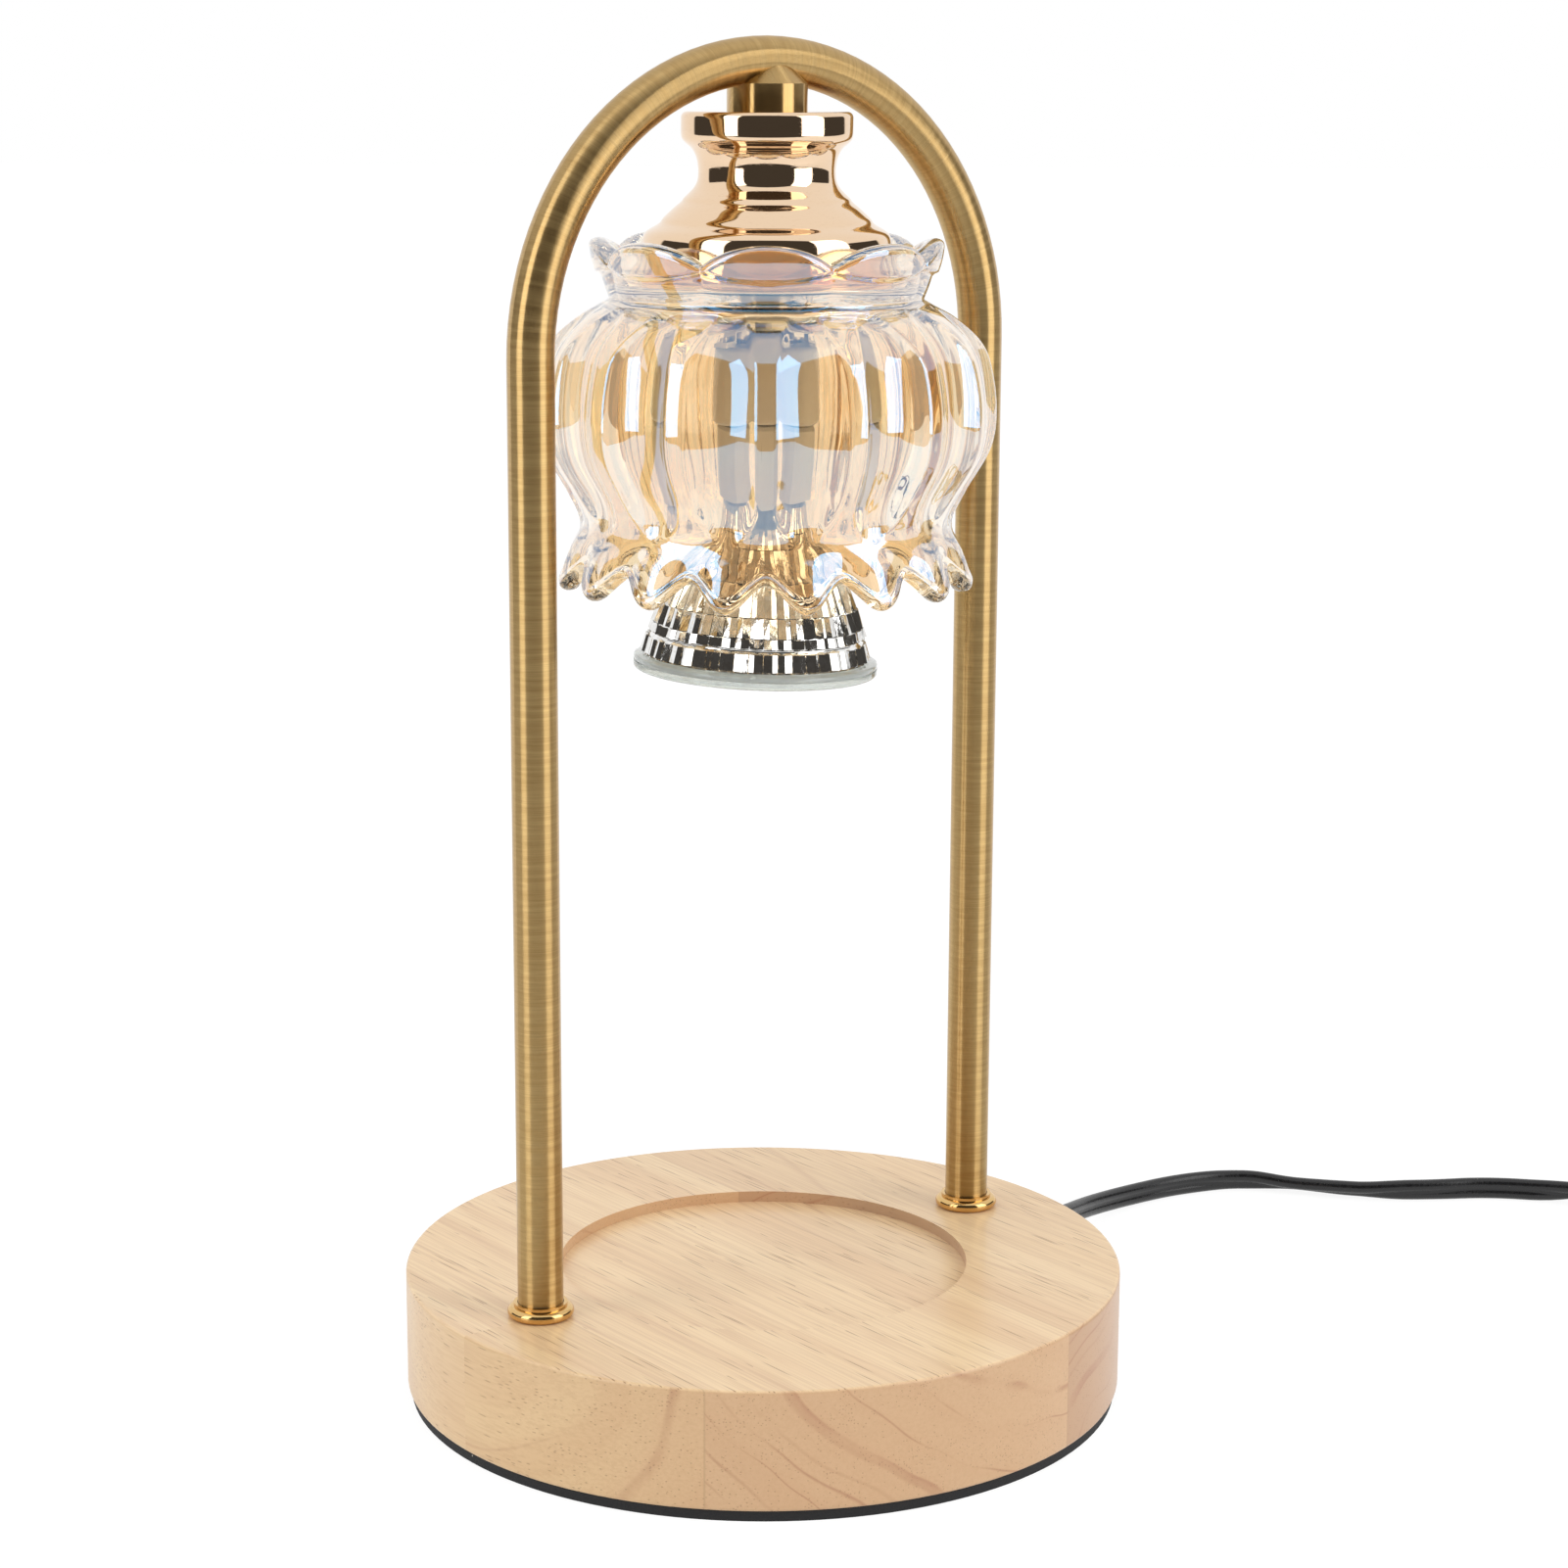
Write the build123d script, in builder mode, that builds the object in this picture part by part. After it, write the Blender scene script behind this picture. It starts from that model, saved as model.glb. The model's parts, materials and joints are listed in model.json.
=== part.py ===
from build123d import *
from math import acos, cos, degrees, pi, radians, sin, tan
import os

# Candle warmer lamp: a wooden base with a recess for the candle, a bent tube arch that stands
# in the base, and a glass shade with a reflector lamp that hangs from the top of the arch.
# Origin: centre of the base on the table. +X runs from leg to leg, +Z is up. Millimetres.

# ---------------------------------------------------------------- driving dimensions
# Base
BASE_DIA = 150.0
BASE_HEIGHT = 26.6  # table to the top of the wood
BASE_EDGE_ROUND = 0.7
PAD_THICKNESS = 2.2
PAD_MARGIN = 0.8  # how far the pad stays inside the edge of the wood
RECESS_DIA = 85.6
RECESS_DEPTH = 2.4
POCKET_DIA = 28.0  # round pocket under each leg
POCKET_DEPTH = 12.4
CHANNEL_WIDTH = 24.0  # wiring channel from the right pocket towards the middle
CHANNEL_END = 16.0  # how near the channel comes to the middle

# Arch tube and its fastening in the base
LEG_SPACING = 112.8
TUBE_DIA = 9.2
TUBE_WALL = 1.0
ARCH_HEIGHT = 278.5  # table to the top of the arch
TUBE_SEAT_DEPTH = 4.0  # how deep each leg stands in the wood
TUBE_FIT = 0.1
LEG_NIPPLE_GRIP = 12.0  # length of the nipple inside the tube
LEG_NIPPLE_WALL = 1.0
LEG_NUT_FLATS = 11.0
LEG_NUT_HEIGHT = 3.5
LEG_WASHER_DIA = 18.0
LEG_WASHER_THICKNESS = 1.0
THREAD_END = 1.5  # thread that stands out past a nut
THREAD_CLEARANCE = 0.2  # between a thread and the hole that it passes

# Foot collars
COLLAR_DIA = 13.4
COLLAR_HEIGHT = 3.0
COLLAR_ROUND = 1.1
COLLAR_STEP_DIA = 10.8
COLLAR_STEP_HEIGHT = 0.7

# Coupler under the top of the arch, and the threaded nipple that hangs from it
COUPLER_DIA = 16.0
COUPLER_CHAMFER = 4.0
COUPLER_THREAD_DEPTH = 5.0
CAP_TOP_DROP = 14.6  # top of the arch down to the top of the bell cap
WIRE_HOLE_DIA = 6.0
NIPPLE_DIA = 10.0
NIPPLE_BORE = 7.0
HANGER_NUT_FLATS = 13.0
HANGER_NUT_HEIGHT = 3.5

# Bell cap
CAP_WALL = 1.0
CAP_RING_DIA = 34.0
CAP_RING_ROUND = 1.2
CAP_RING_HEIGHT = 4.2
CAP_UNDERCUT_DIA = 30.9
CAP_UNDERCUT_DROP = 7.1
CAP_NECK_DIA = 27.1
CAP_NECK_DROP = 11.4
CAP_SHOULDER_DIA = 39.8
CAP_SHOULDER_DROP = 20.3
CAP_BELL_DIA = 48.6
CAP_BELL_DROP = 25.4
CAP_RIM_DIA = 50.0
CAP_HEIGHT = 33.4  # from the shelf of the shade, on which its rim rests

# Glass shade: it hangs from the arch, and its heights are measured up from its lowest point
SHADE_RIM_DIA = 82.0
SHADE_SKIRT_DIA = 83.4
SHADE_SKIRT_RISE = 2.8
SHADE_WAIST_DIA = 75.0
SHADE_WAIST_RISE = 13.2
SHADE_BELLY_DIA = 92.2
SHADE_BELLY_RISE = 36.2
SHADE_NECK_DIA = 62.8
SHADE_NECK_RISE = 57.7
SHADE_SHELF_RISE = 60.7  # upper face of the glass floor inside the collar
SHADE_SHELF_THICKNESS = 4.0
SHADE_SHELF_MARGIN = 2.0  # flat glass round the washer
SHADE_HOLE_CLEARANCE = 0.6
SHADE_WALL = 3.0  # at the bottom of a flute
SHADE_RIBS = 16
SHADE_RIB_HEIGHT = 2.8  # from the bottom of a flute to the crest of a rib
SHADE_SCALLOP_DEPTH = 5.9
CUTTER_OVERRUN = 1.0  # how far inside the glass a scallop cutter starts
SHADE_PETALS = 8
PETAL_TIP_DIA = 70.6
PETAL_RISE = 69.6
PETAL_DEPTH = 3.9
PETAL_WALL = 3.2
PETAL_FLARE = 20.0  # outward slope of the inner face of the petals, in degrees
PETAL_BULGE = 3.0  # how far the collar swells half-way up
PETAL_ROUND = 0.4  # depth of its waves there
NECK_WAVE = 0.1
SHADE_TURN = 7.5  # heading of one petal, in degrees from +X

# What holds the shade: gaskets, washer, bracket
GASKET_DIA = 22.0
GASKET_THICKNESS = 0.8
SHADE_WASHER_DIA = 26.0
SHADE_WASHER_THICKNESS = 1.0
BRACKET_METAL = 1.2
BRACKET_WEB = 17.0  # outside width over the two legs
BRACKET_LEG_WALL = 1.0
BRACKET_WIDTH = 12.0
BRACKET_FOOT = 6.0
BRACKET_SCREW_SHIFT = 0.4  # screw to the middle of its foot
HOLDER_SCREW_DIA = 3.0
HOLDER_SCREW_HEAD_DIA = 5.0
HOLDER_SCREW_HEAD_HEIGHT = 1.8
HOLDER_SCREW_LENGTH = 7.0

# Lampholder
HOLDER_DIA = 29.0
HOLDER_HEIGHT = 13.8
HOLDER_TOP_GAP = 1.5  # nipple end to the top of the lampholder
HOLDER_POCKET_DIA = 13.0
HOLDER_POCKET_DEPTH = 4.5
HOLDER_EDGE_ROUND = 1.0
SLOT_DEPTH = 8.4
PIN_SPACING = 10.0
PIN_HEAD_DIA = 5.0
PIN_NECK_DIA = 3.2
PIN_HEAD_HEIGHT = 2.6
PIN_LENGTH = 5.4
PIN_SLOT_CLEARANCE = 0.35
PIN_LEDGE = 1.6  # thickness of the floor that the pin heads hang on
TWIST_ANGLE = 20.0  # turn that frees the lamp
CONTACT_WIDTH = 3.0
CONTACT_THICKNESS = 0.8
CONTACT_HEIGHT = 5.6
CONTACT_PAD_DIA = 3.8

# Reflector lamp: it leans a little in its slots. Lengths run down from its base.
LAMP_LEAN = 2.4
LAMP_LEAN_HEADING = 141.5  # side to which its front swings, in degrees from +X
LAMP_GAP = 0.75  # base to lampholder, which leaves room for the lean
LAMP_BASE_DIA = 23.0
LAMP_BASE_FLAT = 17.0
LAMP_BASE_LENGTH = 14.0
REFLECTOR_NECK_DIA = 16.0
REFLECTOR_LENGTH = 47.3
REFLECTOR_DIA = 46.2
REFLECTOR_WALL = 1.2
FLANGE_DIA = 49.6
FLANGE_THICKNESS = 1.2
LENS_THICKNESS = 1.5
LENS_EDGE_ROUND = 0.6
CAPSULE_DIA = 9.0
CAPSULE_LENGTH = 22.0
CAPSULE_TIP_ROUND = 4.0

# Wiring inside the lamp
WIRE_DIA = 1.8
WIRE_SPACING = 2.0
WIRE_ENTRY_BEND = 3.0
WIRE_TOP_BEND = 3.7
TERMINAL_LENGTH = 16.0
TERMINAL_MARGIN = 2.0  # block to the end of the channel
TERMINAL_WIDTH = 20.0
TERMINAL_HEIGHT = 9.0
TERMINAL_SCREW_DIA = 3.0
TERMINAL_SCREW_GRID = 8.0

# Flat twin cord, its gland in the base, and its two free stretches
CORD_WIDTH = 5.2
GLAND_HOLE_DIA = 8.4
GLAND_FIT = 0.1
GLAND_LENGTH = 22.0
GLAND_COLLAR_DIA = 10.5
GLAND_COLLAR_START = 1.4
GLAND_COLLAR_LENGTH = 1.6
GLAND_INNER_CLEARANCE = 0.2  # wall of the pocket to the collar inside it
GLAND_INNER_LENGTH = 1.4
EXIT_ANGLE = 8.0  # place of the hole on the rim
EXIT_HEADING = 20.0  # direction in which the cord leaves
EXIT_HEIGHT = 8.8
ROUTE_SHARE = 0.45

# In-line dimmer
DIMMER_START = (235.0, -43.0)  # where the cord meets its strain relief
DIMMER_HEADING = -62.0
DIMMER_LENGTH = 48.0
DIMMER_WIDTH = 24.0
DIMMER_HEIGHT = 15.0
DIMMER_END_ROUND = 7.0
DIMMER_TOP_ROUND = 2.6
DIMMER_FOOT_ROUND = 1.0
DIMMER_WALL = 1.6
DIMMER_CORD_HEIGHT = 5.5  # also the height of the joint between the two shells
RELIEF_LENGTH = 20.0
RELIEF_END_DIA = 6.4
RELIEF_ROOT_DIA = 9.0
RELIEF_NECK_DIA = 6.4
RELIEF_KEY_DIA = 7.6
RELIEF_KEY_LENGTH = 1.4
WHEEL_DIA = 24.0
WHEEL_THICKNESS = 4.4
WHEEL_BOTTOM = 6.2
WHEEL_OFFSET = 3.4  # wheel axis to the middle of the housing
WHEEL_CLEARANCE = 0.6
WHEEL_KNURLS = 36
WHEEL_KNURL_DIA = 1.2
SHAFT_DIA = 6.0
SHAFT_LENGTH = 9.0
SHAFT_CLEARANCE = 0.05
BOARD_LENGTH = 38.0
BOARD_WIDTH = 18.0
BOARD_THICKNESS = 1.2
BOARD_HEIGHT = 1.6
DIMMER_BODY_SIZE = 11.0
DIMMER_SCREW_DIA = 2.6
DIMMER_SCREW_HEAD_DIA = 4.6
DIMMER_SCREW_HEAD_HEIGHT = 1.4
DIMMER_SCREW_LENGTH = 9.0
DIMMER_SCREW_SPACING = 36.0

# Coil of spare cord, its tie and the plug
COIL_CENTRE = (212.0, -135.0)
COIL_OUTER_TURN = 31.0  # radius of the outer turns' centreline
COIL_COLUMNS = 2
COIL_LAYERS = 3
COIL_LAYER_PITCH = 3.1
COIL_LIFT = 0.8
COIL_EDGE_ROUND = 1.4
TIE_WIDTH = 5.0
TIE_THICKNESS = 0.6
TIE_HEADING = 75.0
PLUG_HEADING = 171.0
PLUG_LENGTH = 30.0
PLUG_WIDTH = 24.0
PLUG_HEIGHT = 15.0
PLUG_NOSE_ROUND = 3.0
PLUG_BACK_ROUND = 2.7
PLUG_RELIEF_LENGTH = 20.0
BLADE_SPACING = 12.7
BLADE_WIDTH = 6.3
BLADE_THICKNESS = 1.5
BLADE_LENGTH = 17.0
BLADE_CHAMFER = 0.4
BLADE_HOLE_DIA = 3.2
BLADE_HOLE_SETBACK = 4.5

# ---------------------------------------------------------------- shared levels and places
leg_x = LEG_SPACING / 2
tube_bore = TUBE_DIA - 2 * TUBE_WALL
tube_foot_z = BASE_HEIGHT - TUBE_SEAT_DEPTH
apex_z = ARCH_HEIGHT - TUBE_DIA / 2  # centreline of the tube at its top
bend_z = apex_z - leg_x  # where the legs turn into the half circle
pocket_ceiling_z = PAD_THICKNESS + POCKET_DEPTH
leg_thread_dia = tube_bore - TUBE_FIT

cap_top_z = ARCH_HEIGHT - CAP_TOP_DROP
shelf_top_z = cap_top_z - CAP_HEIGHT
shade_rim_z = shelf_top_z - SHADE_SHELF_RISE  # lowest point of the glass
shelf_bottom_z = shelf_top_z - SHADE_SHELF_THICKNESS
lower_gasket_z = shelf_bottom_z - GASKET_THICKNESS
washer_z = lower_gasket_z - SHADE_WASHER_THICKNESS
web_z = washer_z - BRACKET_METAL
hanger_nut_z = web_z - HANGER_NUT_HEIGHT
nipple_end_z = hanger_nut_z - THREAD_END
holder_top_z = nipple_end_z - HOLDER_TOP_GAP
holder_face_z = holder_top_z - HOLDER_HEIGHT  # where the lamp's base meets it
holder_pocket_z = holder_top_z - HOLDER_POCKET_DEPTH
bracket_screw_x = (BRACKET_WEB + BRACKET_FOOT) / 2 + BRACKET_SCREW_SHIFT

pieces = {}


def hexagon_nut(flats, height, bore, places):
    """One solid for each place: a hexagon nut that stands on the plane of its place."""
    with BuildPart() as nuts:
        for place in places:
            with BuildSketch(Plane(origin=place)):
                RegularPolygon(flats / 2, 6, major_radius=False)
                Circle(bore / 2, mode=Mode.SUBTRACT)
            extrude(amount=height)
    return nuts


def ring(outer_dia, bore, height, places):
    """One solid for each place: a flat ring that stands on the plane of its place."""
    with BuildPart() as rings:
        for place in places:
            with BuildSketch(Plane(origin=place)):
                Circle(outer_dia / 2)
                Circle(bore / 2, mode=Mode.SUBTRACT)
            extrude(amount=height)
    return rings


# ---------------------------------------------------------------- base
wood_leg_hole = leg_thread_dia + 2 * THREAD_CLEARANCE
exit_point = Vector(
    BASE_DIA / 2 * cos(radians(EXIT_ANGLE)), BASE_DIA / 2 * sin(radians(EXIT_ANGLE)), EXIT_HEIGHT
)
exit_direction = Vector(cos(radians(EXIT_HEADING)), sin(radians(EXIT_HEADING)), 0)
# How far in from the rim the middle of the right pocket is, and how far beside the cord's line.
leg_to_exit = exit_point - Vector(leg_x, 0, EXIT_HEIGHT)
pocket_reach = leg_to_exit.dot(exit_direction)
pocket_aside = leg_to_exit.cross(exit_direction).length
gland_inner_start = GLAND_INNER_CLEARANCE + pocket_reach - (
    (POCKET_DIA / 2) ** 2 - (pocket_aside + GLAND_COLLAR_DIA / 2) ** 2
) ** 0.5

with BuildPart() as wood_base:
    with BuildSketch(Plane.XY.offset(PAD_THICKNESS)):
        Circle(BASE_DIA / 2)
    extrude(amount=BASE_HEIGHT - PAD_THICKNESS)
    fillet(wood_base.edges().filter_by(GeomType.CIRCLE), BASE_EDGE_ROUND)
    with BuildSketch(Plane.XY.offset(BASE_HEIGHT)):
        Circle(RECESS_DIA / 2)
    extrude(amount=-RECESS_DEPTH, mode=Mode.SUBTRACT)
    with Locations((-leg_x, 0, BASE_HEIGHT), (leg_x, 0, BASE_HEIGHT)):
        CounterBoreHole(wood_leg_hole / 2, TUBE_DIA / 2 + TUBE_FIT, TUBE_SEAT_DEPTH)
    with BuildSketch(Plane.XY.offset(PAD_THICKNESS)):
        with Locations((-leg_x, 0), (leg_x, 0)):
            Circle(POCKET_DIA / 2)
        with Locations(((leg_x + CHANNEL_END) / 2, 0)):
            Rectangle(leg_x - CHANNEL_END, CHANNEL_WIDTH)
    extrude(amount=POCKET_DEPTH, mode=Mode.SUBTRACT)
    with BuildSketch(Plane(origin=exit_point + exit_direction, z_dir=exit_direction)):
        Circle(GLAND_HOLE_DIA / 2)
    extrude(amount=-1 - pocket_reach, mode=Mode.SUBTRACT)
pieces["wood_base"] = wood_base

with BuildPart() as base_pad:
    with BuildSketch():
        Circle(BASE_DIA / 2 - PAD_MARGIN)
    extrude(amount=PAD_THICKNESS)
pieces["base_pad"] = base_pad

# ---------------------------------------------------------------- arch tube and feet
with BuildPart() as arch_tube:
    with BuildLine(Plane.XZ) as arch_line:
        Line((leg_x, tube_foot_z), (leg_x, bend_z))
        CenterArc((0, bend_z), leg_x, 0, 180)
        Line((-leg_x, bend_z), (-leg_x, tube_foot_z))
    with BuildSketch(Plane(origin=(leg_x, 0, tube_foot_z))):
        Circle(TUBE_DIA / 2)
        Circle(tube_bore / 2, mode=Mode.SUBTRACT)
    sweep(path=arch_line.line)
    with BuildSketch(Plane.XY.offset(apex_z)):
        Circle(WIRE_HOLE_DIA / 2)
    extrude(amount=-TUBE_DIA, mode=Mode.SUBTRACT)
pieces["arch_tube"] = arch_tube

for side, name in ((-1, "left_foot_collar"), (1, "right_foot_collar")):
    with BuildPart() as foot_collar:
        with BuildSketch(Plane(origin=(side * leg_x, 0, BASE_HEIGHT))):
            Circle(COLLAR_DIA / 2)
        extrude(amount=COLLAR_HEIGHT - COLLAR_STEP_HEIGHT)
        fillet(foot_collar.edges().filter_by(GeomType.CIRCLE), COLLAR_ROUND)
        with BuildSketch(Plane(origin=(side * leg_x, 0, BASE_HEIGHT))):
            Circle(COLLAR_STEP_DIA / 2)
        extrude(amount=COLLAR_HEIGHT)
        with Locations((side * leg_x, 0, BASE_HEIGHT + COLLAR_HEIGHT)):
            Hole(TUBE_DIA / 2 + TUBE_FIT, depth=COLLAR_HEIGHT)
    pieces[name] = foot_collar

leg_washer_z = pocket_ceiling_z - LEG_WASHER_THICKNESS
leg_nut_z = leg_washer_z - LEG_NUT_HEIGHT
leg_thread_end_z = leg_nut_z - THREAD_END
leg_nipple_top_z = tube_foot_z + LEG_NIPPLE_GRIP
pieces["leg_nipples"] = ring(
    leg_thread_dia,
    leg_thread_dia - 2 * LEG_NIPPLE_WALL,
    leg_nipple_top_z - leg_thread_end_z,
    [(-leg_x, 0, leg_thread_end_z), (leg_x, 0, leg_thread_end_z)],
)
pieces["leg_washers"] = ring(
    LEG_WASHER_DIA,
    wood_leg_hole,
    LEG_WASHER_THICKNESS,
    [(-leg_x, 0, leg_washer_z), (leg_x, 0, leg_washer_z)],
)
pieces["leg_nuts"] = hexagon_nut(
    LEG_NUT_FLATS,
    LEG_NUT_HEIGHT,
    leg_thread_dia,
    [(-leg_x, 0, leg_nut_z), (leg_x, 0, leg_nut_z)],
)

# ---------------------------------------------------------------- coupler, nipple and nuts
coupler_top_z = apex_z - TUBE_DIA / 2 + COUPLER_CHAMFER
with BuildPart() as top_coupler:
    with BuildSketch(Plane.XY.offset(cap_top_z)):
        Circle(COUPLER_DIA / 2)
    extrude(amount=coupler_top_z - cap_top_z)
    chamfer(top_coupler.edges().group_by(Axis.Z)[-1], COUPLER_CHAMFER)
    with BuildSketch(Plane.XY.offset(cap_top_z)):
        Circle(WIRE_HOLE_DIA / 2)
    extrude(amount=TUBE_DIA, mode=Mode.SUBTRACT)
    with BuildSketch(Plane.XY.offset(cap_top_z)):
        Circle(NIPPLE_DIA / 2)
    extrude(amount=COUPLER_THREAD_DEPTH, mode=Mode.SUBTRACT)
    with BuildLine(Plane.XZ) as saddle_line:
        CenterArc((0, bend_z), leg_x, 70, 40)
    with BuildSketch(Plane(origin=saddle_line.line @ 0, z_dir=saddle_line.line % 0)):
        Circle(TUBE_DIA / 2)
    sweep(path=saddle_line.line, mode=Mode.SUBTRACT)
pieces["top_coupler"] = top_coupler

nipple_top_z = cap_top_z + COUPLER_THREAD_DEPTH
cap_nut_z = cap_top_z - CAP_WALL - HANGER_NUT_HEIGHT
pieces["hanger_nipple"] = ring(
    NIPPLE_DIA, NIPPLE_BORE, nipple_top_z - nipple_end_z, [(0, 0, nipple_end_z)]
)
pieces["hanger_nuts"] = hexagon_nut(
    HANGER_NUT_FLATS, HANGER_NUT_HEIGHT, NIPPLE_DIA, [(0, 0, cap_nut_z), (0, 0, hanger_nut_z)]
)

# ---------------------------------------------------------------- bell cap
nipple_hole = NIPPLE_DIA / 2 + THREAD_CLEARANCE


def bell_outline(inset, top_inset):
    """The cap's half section, from its top to its rim, moved in by the wall."""
    ring_r = CAP_RING_DIA / 2 - inset
    with BuildLine() as outline:
        top = cap_top_z - top_inset
        Line((0, top), (ring_r - CAP_RING_ROUND, top))
        RadiusArc((ring_r - CAP_RING_ROUND, top), (ring_r, top - CAP_RING_ROUND), CAP_RING_ROUND)
        Line((ring_r, top - CAP_RING_ROUND), (ring_r, cap_top_z - CAP_RING_HEIGHT))
        Spline(
            (ring_r, cap_top_z - CAP_RING_HEIGHT),
            (CAP_UNDERCUT_DIA / 2 - inset, cap_top_z - CAP_UNDERCUT_DROP),
            (CAP_NECK_DIA / 2 - inset, cap_top_z - CAP_NECK_DROP),
            (CAP_SHOULDER_DIA / 2 - inset, cap_top_z - CAP_SHOULDER_DROP),
            (CAP_BELL_DIA / 2 - inset, cap_top_z - CAP_BELL_DROP),
            (CAP_RIM_DIA / 2 - inset, shelf_top_z),
            tangents=((0, -1), (0, -1)),
        )
        Line((CAP_RIM_DIA / 2 - inset, shelf_top_z), (0, shelf_top_z))
        Line((0, shelf_top_z), (0, top))
    return outline.line


with BuildPart() as bell_cap:
    with BuildSketch(Plane.XZ):
        make_face(bell_outline(0, 0).edges())
    revolve(axis=Axis.Z)
    with BuildSketch(Plane.XZ):
        make_face(bell_outline(CAP_WALL, CAP_WALL).edges())
    revolve(axis=Axis.Z, mode=Mode.SUBTRACT)
    with Locations((0, 0, cap_top_z)):
        Hole(nipple_hole, depth=2 * CAP_WALL)
pieces["bell_cap"] = bell_cap

# ---------------------------------------------------------------- glass shade
rib_half = SHADE_RIB_HEIGHT / 2
lobe_turn = SHADE_TURN + 180 / SHADE_RIBS  # heading of one lobe of the skirt
skirt_to_waist = SHADE_WAIST_RISE - SHADE_SKIRT_RISE
waist_to_belly = SHADE_BELLY_RISE - SHADE_WAIST_RISE
belly_to_neck = SHADE_NECK_RISE - SHADE_BELLY_RISE
skirt_swell = (SHADE_SKIRT_DIA - SHADE_WAIST_DIA) / 2
belly_swell = (SHADE_BELLY_DIA - SHADE_WAIST_DIA) / 2
belly_drop = (SHADE_BELLY_DIA - SHADE_NECK_DIA) / 2

# Each station of the outside: height above the lowest point, crest radius, depth of the
# waves as a share of the rib, and where their crests lie: 1 on the lobes of the skirt,
# -1 half-way between them.
shade_stations = [
    (0, SHADE_RIM_DIA / 2, 0.9, 1),
    (SHADE_SKIRT_RISE, SHADE_SKIRT_DIA / 2, 1.0, 1),
    (SHADE_SKIRT_RISE + 0.5 * skirt_to_waist, SHADE_WAIST_DIA / 2 + 0.6 * skirt_swell, 0.8, 1),
    (SHADE_WAIST_RISE, SHADE_WAIST_DIA / 2, 0.3, 0),
    (SHADE_WAIST_RISE + 0.24 * waist_to_belly, SHADE_WAIST_DIA / 2 + 0.26 * belly_swell, 0.8, -1),
    (SHADE_WAIST_RISE + 0.65 * waist_to_belly, SHADE_WAIST_DIA / 2 + 0.88 * belly_swell, 1.0, -1),
    (SHADE_BELLY_RISE, SHADE_BELLY_DIA / 2, 1.0, -1),
    (SHADE_BELLY_RISE + 0.44 * belly_to_neck, SHADE_BELLY_DIA / 2 - 0.1 * belly_drop, 0.9, -1),
    (SHADE_BELLY_RISE + 0.64 * belly_to_neck, SHADE_BELLY_DIA / 2 - 0.26 * belly_drop, 0.8, -1),
    (SHADE_BELLY_RISE + 0.84 * belly_to_neck, SHADE_BELLY_DIA / 2 - 0.6 * belly_drop, 0.5, -1),
    (SHADE_NECK_RISE, SHADE_NECK_DIA / 2, 0.1, -1),
]


def wavy_section(z, crest_radius, ripple, waves, turn, side=1):
    """A closed outline with one rounded wave for each rib or petal."""
    steps = 4 * waves
    points = []
    for step in range(steps):
        angle = 2 * pi * step / steps
        radius = crest_radius - ripple + side * ripple * cos(waves * angle)
        heading = angle + radians(turn)
        points.append((radius * cos(heading), radius * sin(heading)))
    with BuildSketch(Plane.XY.offset(z)) as section:
        with BuildLine():
            Spline(*points, periodic=True)
        make_face()
    return section.sketch


shelf_flat_r = SHADE_WASHER_DIA / 2 + SHADE_SHELF_MARGIN
with BuildPart() as shade_cavity:
    with BuildSketch(Plane.XZ):
        with BuildLine():
            inside = [
                (radius - SHADE_RIB_HEIGHT * share - SHADE_WALL, shade_rim_z + rise)
                for rise, radius, share, side in shade_stations[:-1]
            ]
            Spline(*inside)
            Line(inside[-1], (shelf_flat_r, shelf_bottom_z))
            Line((shelf_flat_r, shelf_bottom_z), (0, shelf_bottom_z))
            Line((0, shelf_bottom_z), (0, shade_rim_z))
            Line((0, shade_rim_z), inside[0])
        make_face()
    revolve(axis=Axis.Z)

petal_z = shade_rim_z + PETAL_RISE
petal_ripple = PETAL_WALL / 4
petal_crest = PETAL_TIP_DIA / 2
neck_z = shade_rim_z + SHADE_NECK_RISE
collar_bore = SHADE_NECK_DIA / 2 - PETAL_WALL

# Between two scallops of the rim the glass is cut away along one wave.
notch_start = SHADE_WAIST_DIA / 2 - SHADE_RIB_HEIGHT - SHADE_WALL - CUTTER_OVERRUN
notch_half = notch_start * tan(pi / SHADE_RIBS)
with BuildPart() as scallop_cutter:
    with BuildSketch(Plane.YZ.offset(notch_start)):
        with BuildLine():
            wave = Spline(
                (-notch_half, shade_rim_z),
                (-notch_half / 2, shade_rim_z + SHADE_SCALLOP_DEPTH / 2),
                (0, shade_rim_z + SHADE_SCALLOP_DEPTH),
                (notch_half / 2, shade_rim_z + SHADE_SCALLOP_DEPTH / 2),
                (notch_half, shade_rim_z),
            )
            Line(wave @ 1, wave @ 0)
        make_face()
    extrude(amount=SHADE_SKIRT_DIA / 2)

# The top of each petal is one arc that comes down to the notch beside it.
petal_half = petal_crest * tan(pi / SHADE_PETALS)
petal_arc = (petal_half**2 + PETAL_DEPTH**2) / (2 * PETAL_DEPTH)
with BuildPart() as petal_cutter:
    with BuildSketch(Plane.YZ.offset(SHADE_NECK_DIA / 4)):
        with Locations((0, petal_z)):
            Rectangle(2 * petal_half, 2 * PETAL_DEPTH)
        with Locations((0, petal_z - petal_arc)):
            Circle(petal_arc, mode=Mode.SUBTRACT)
    extrude(amount=petal_crest)

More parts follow.
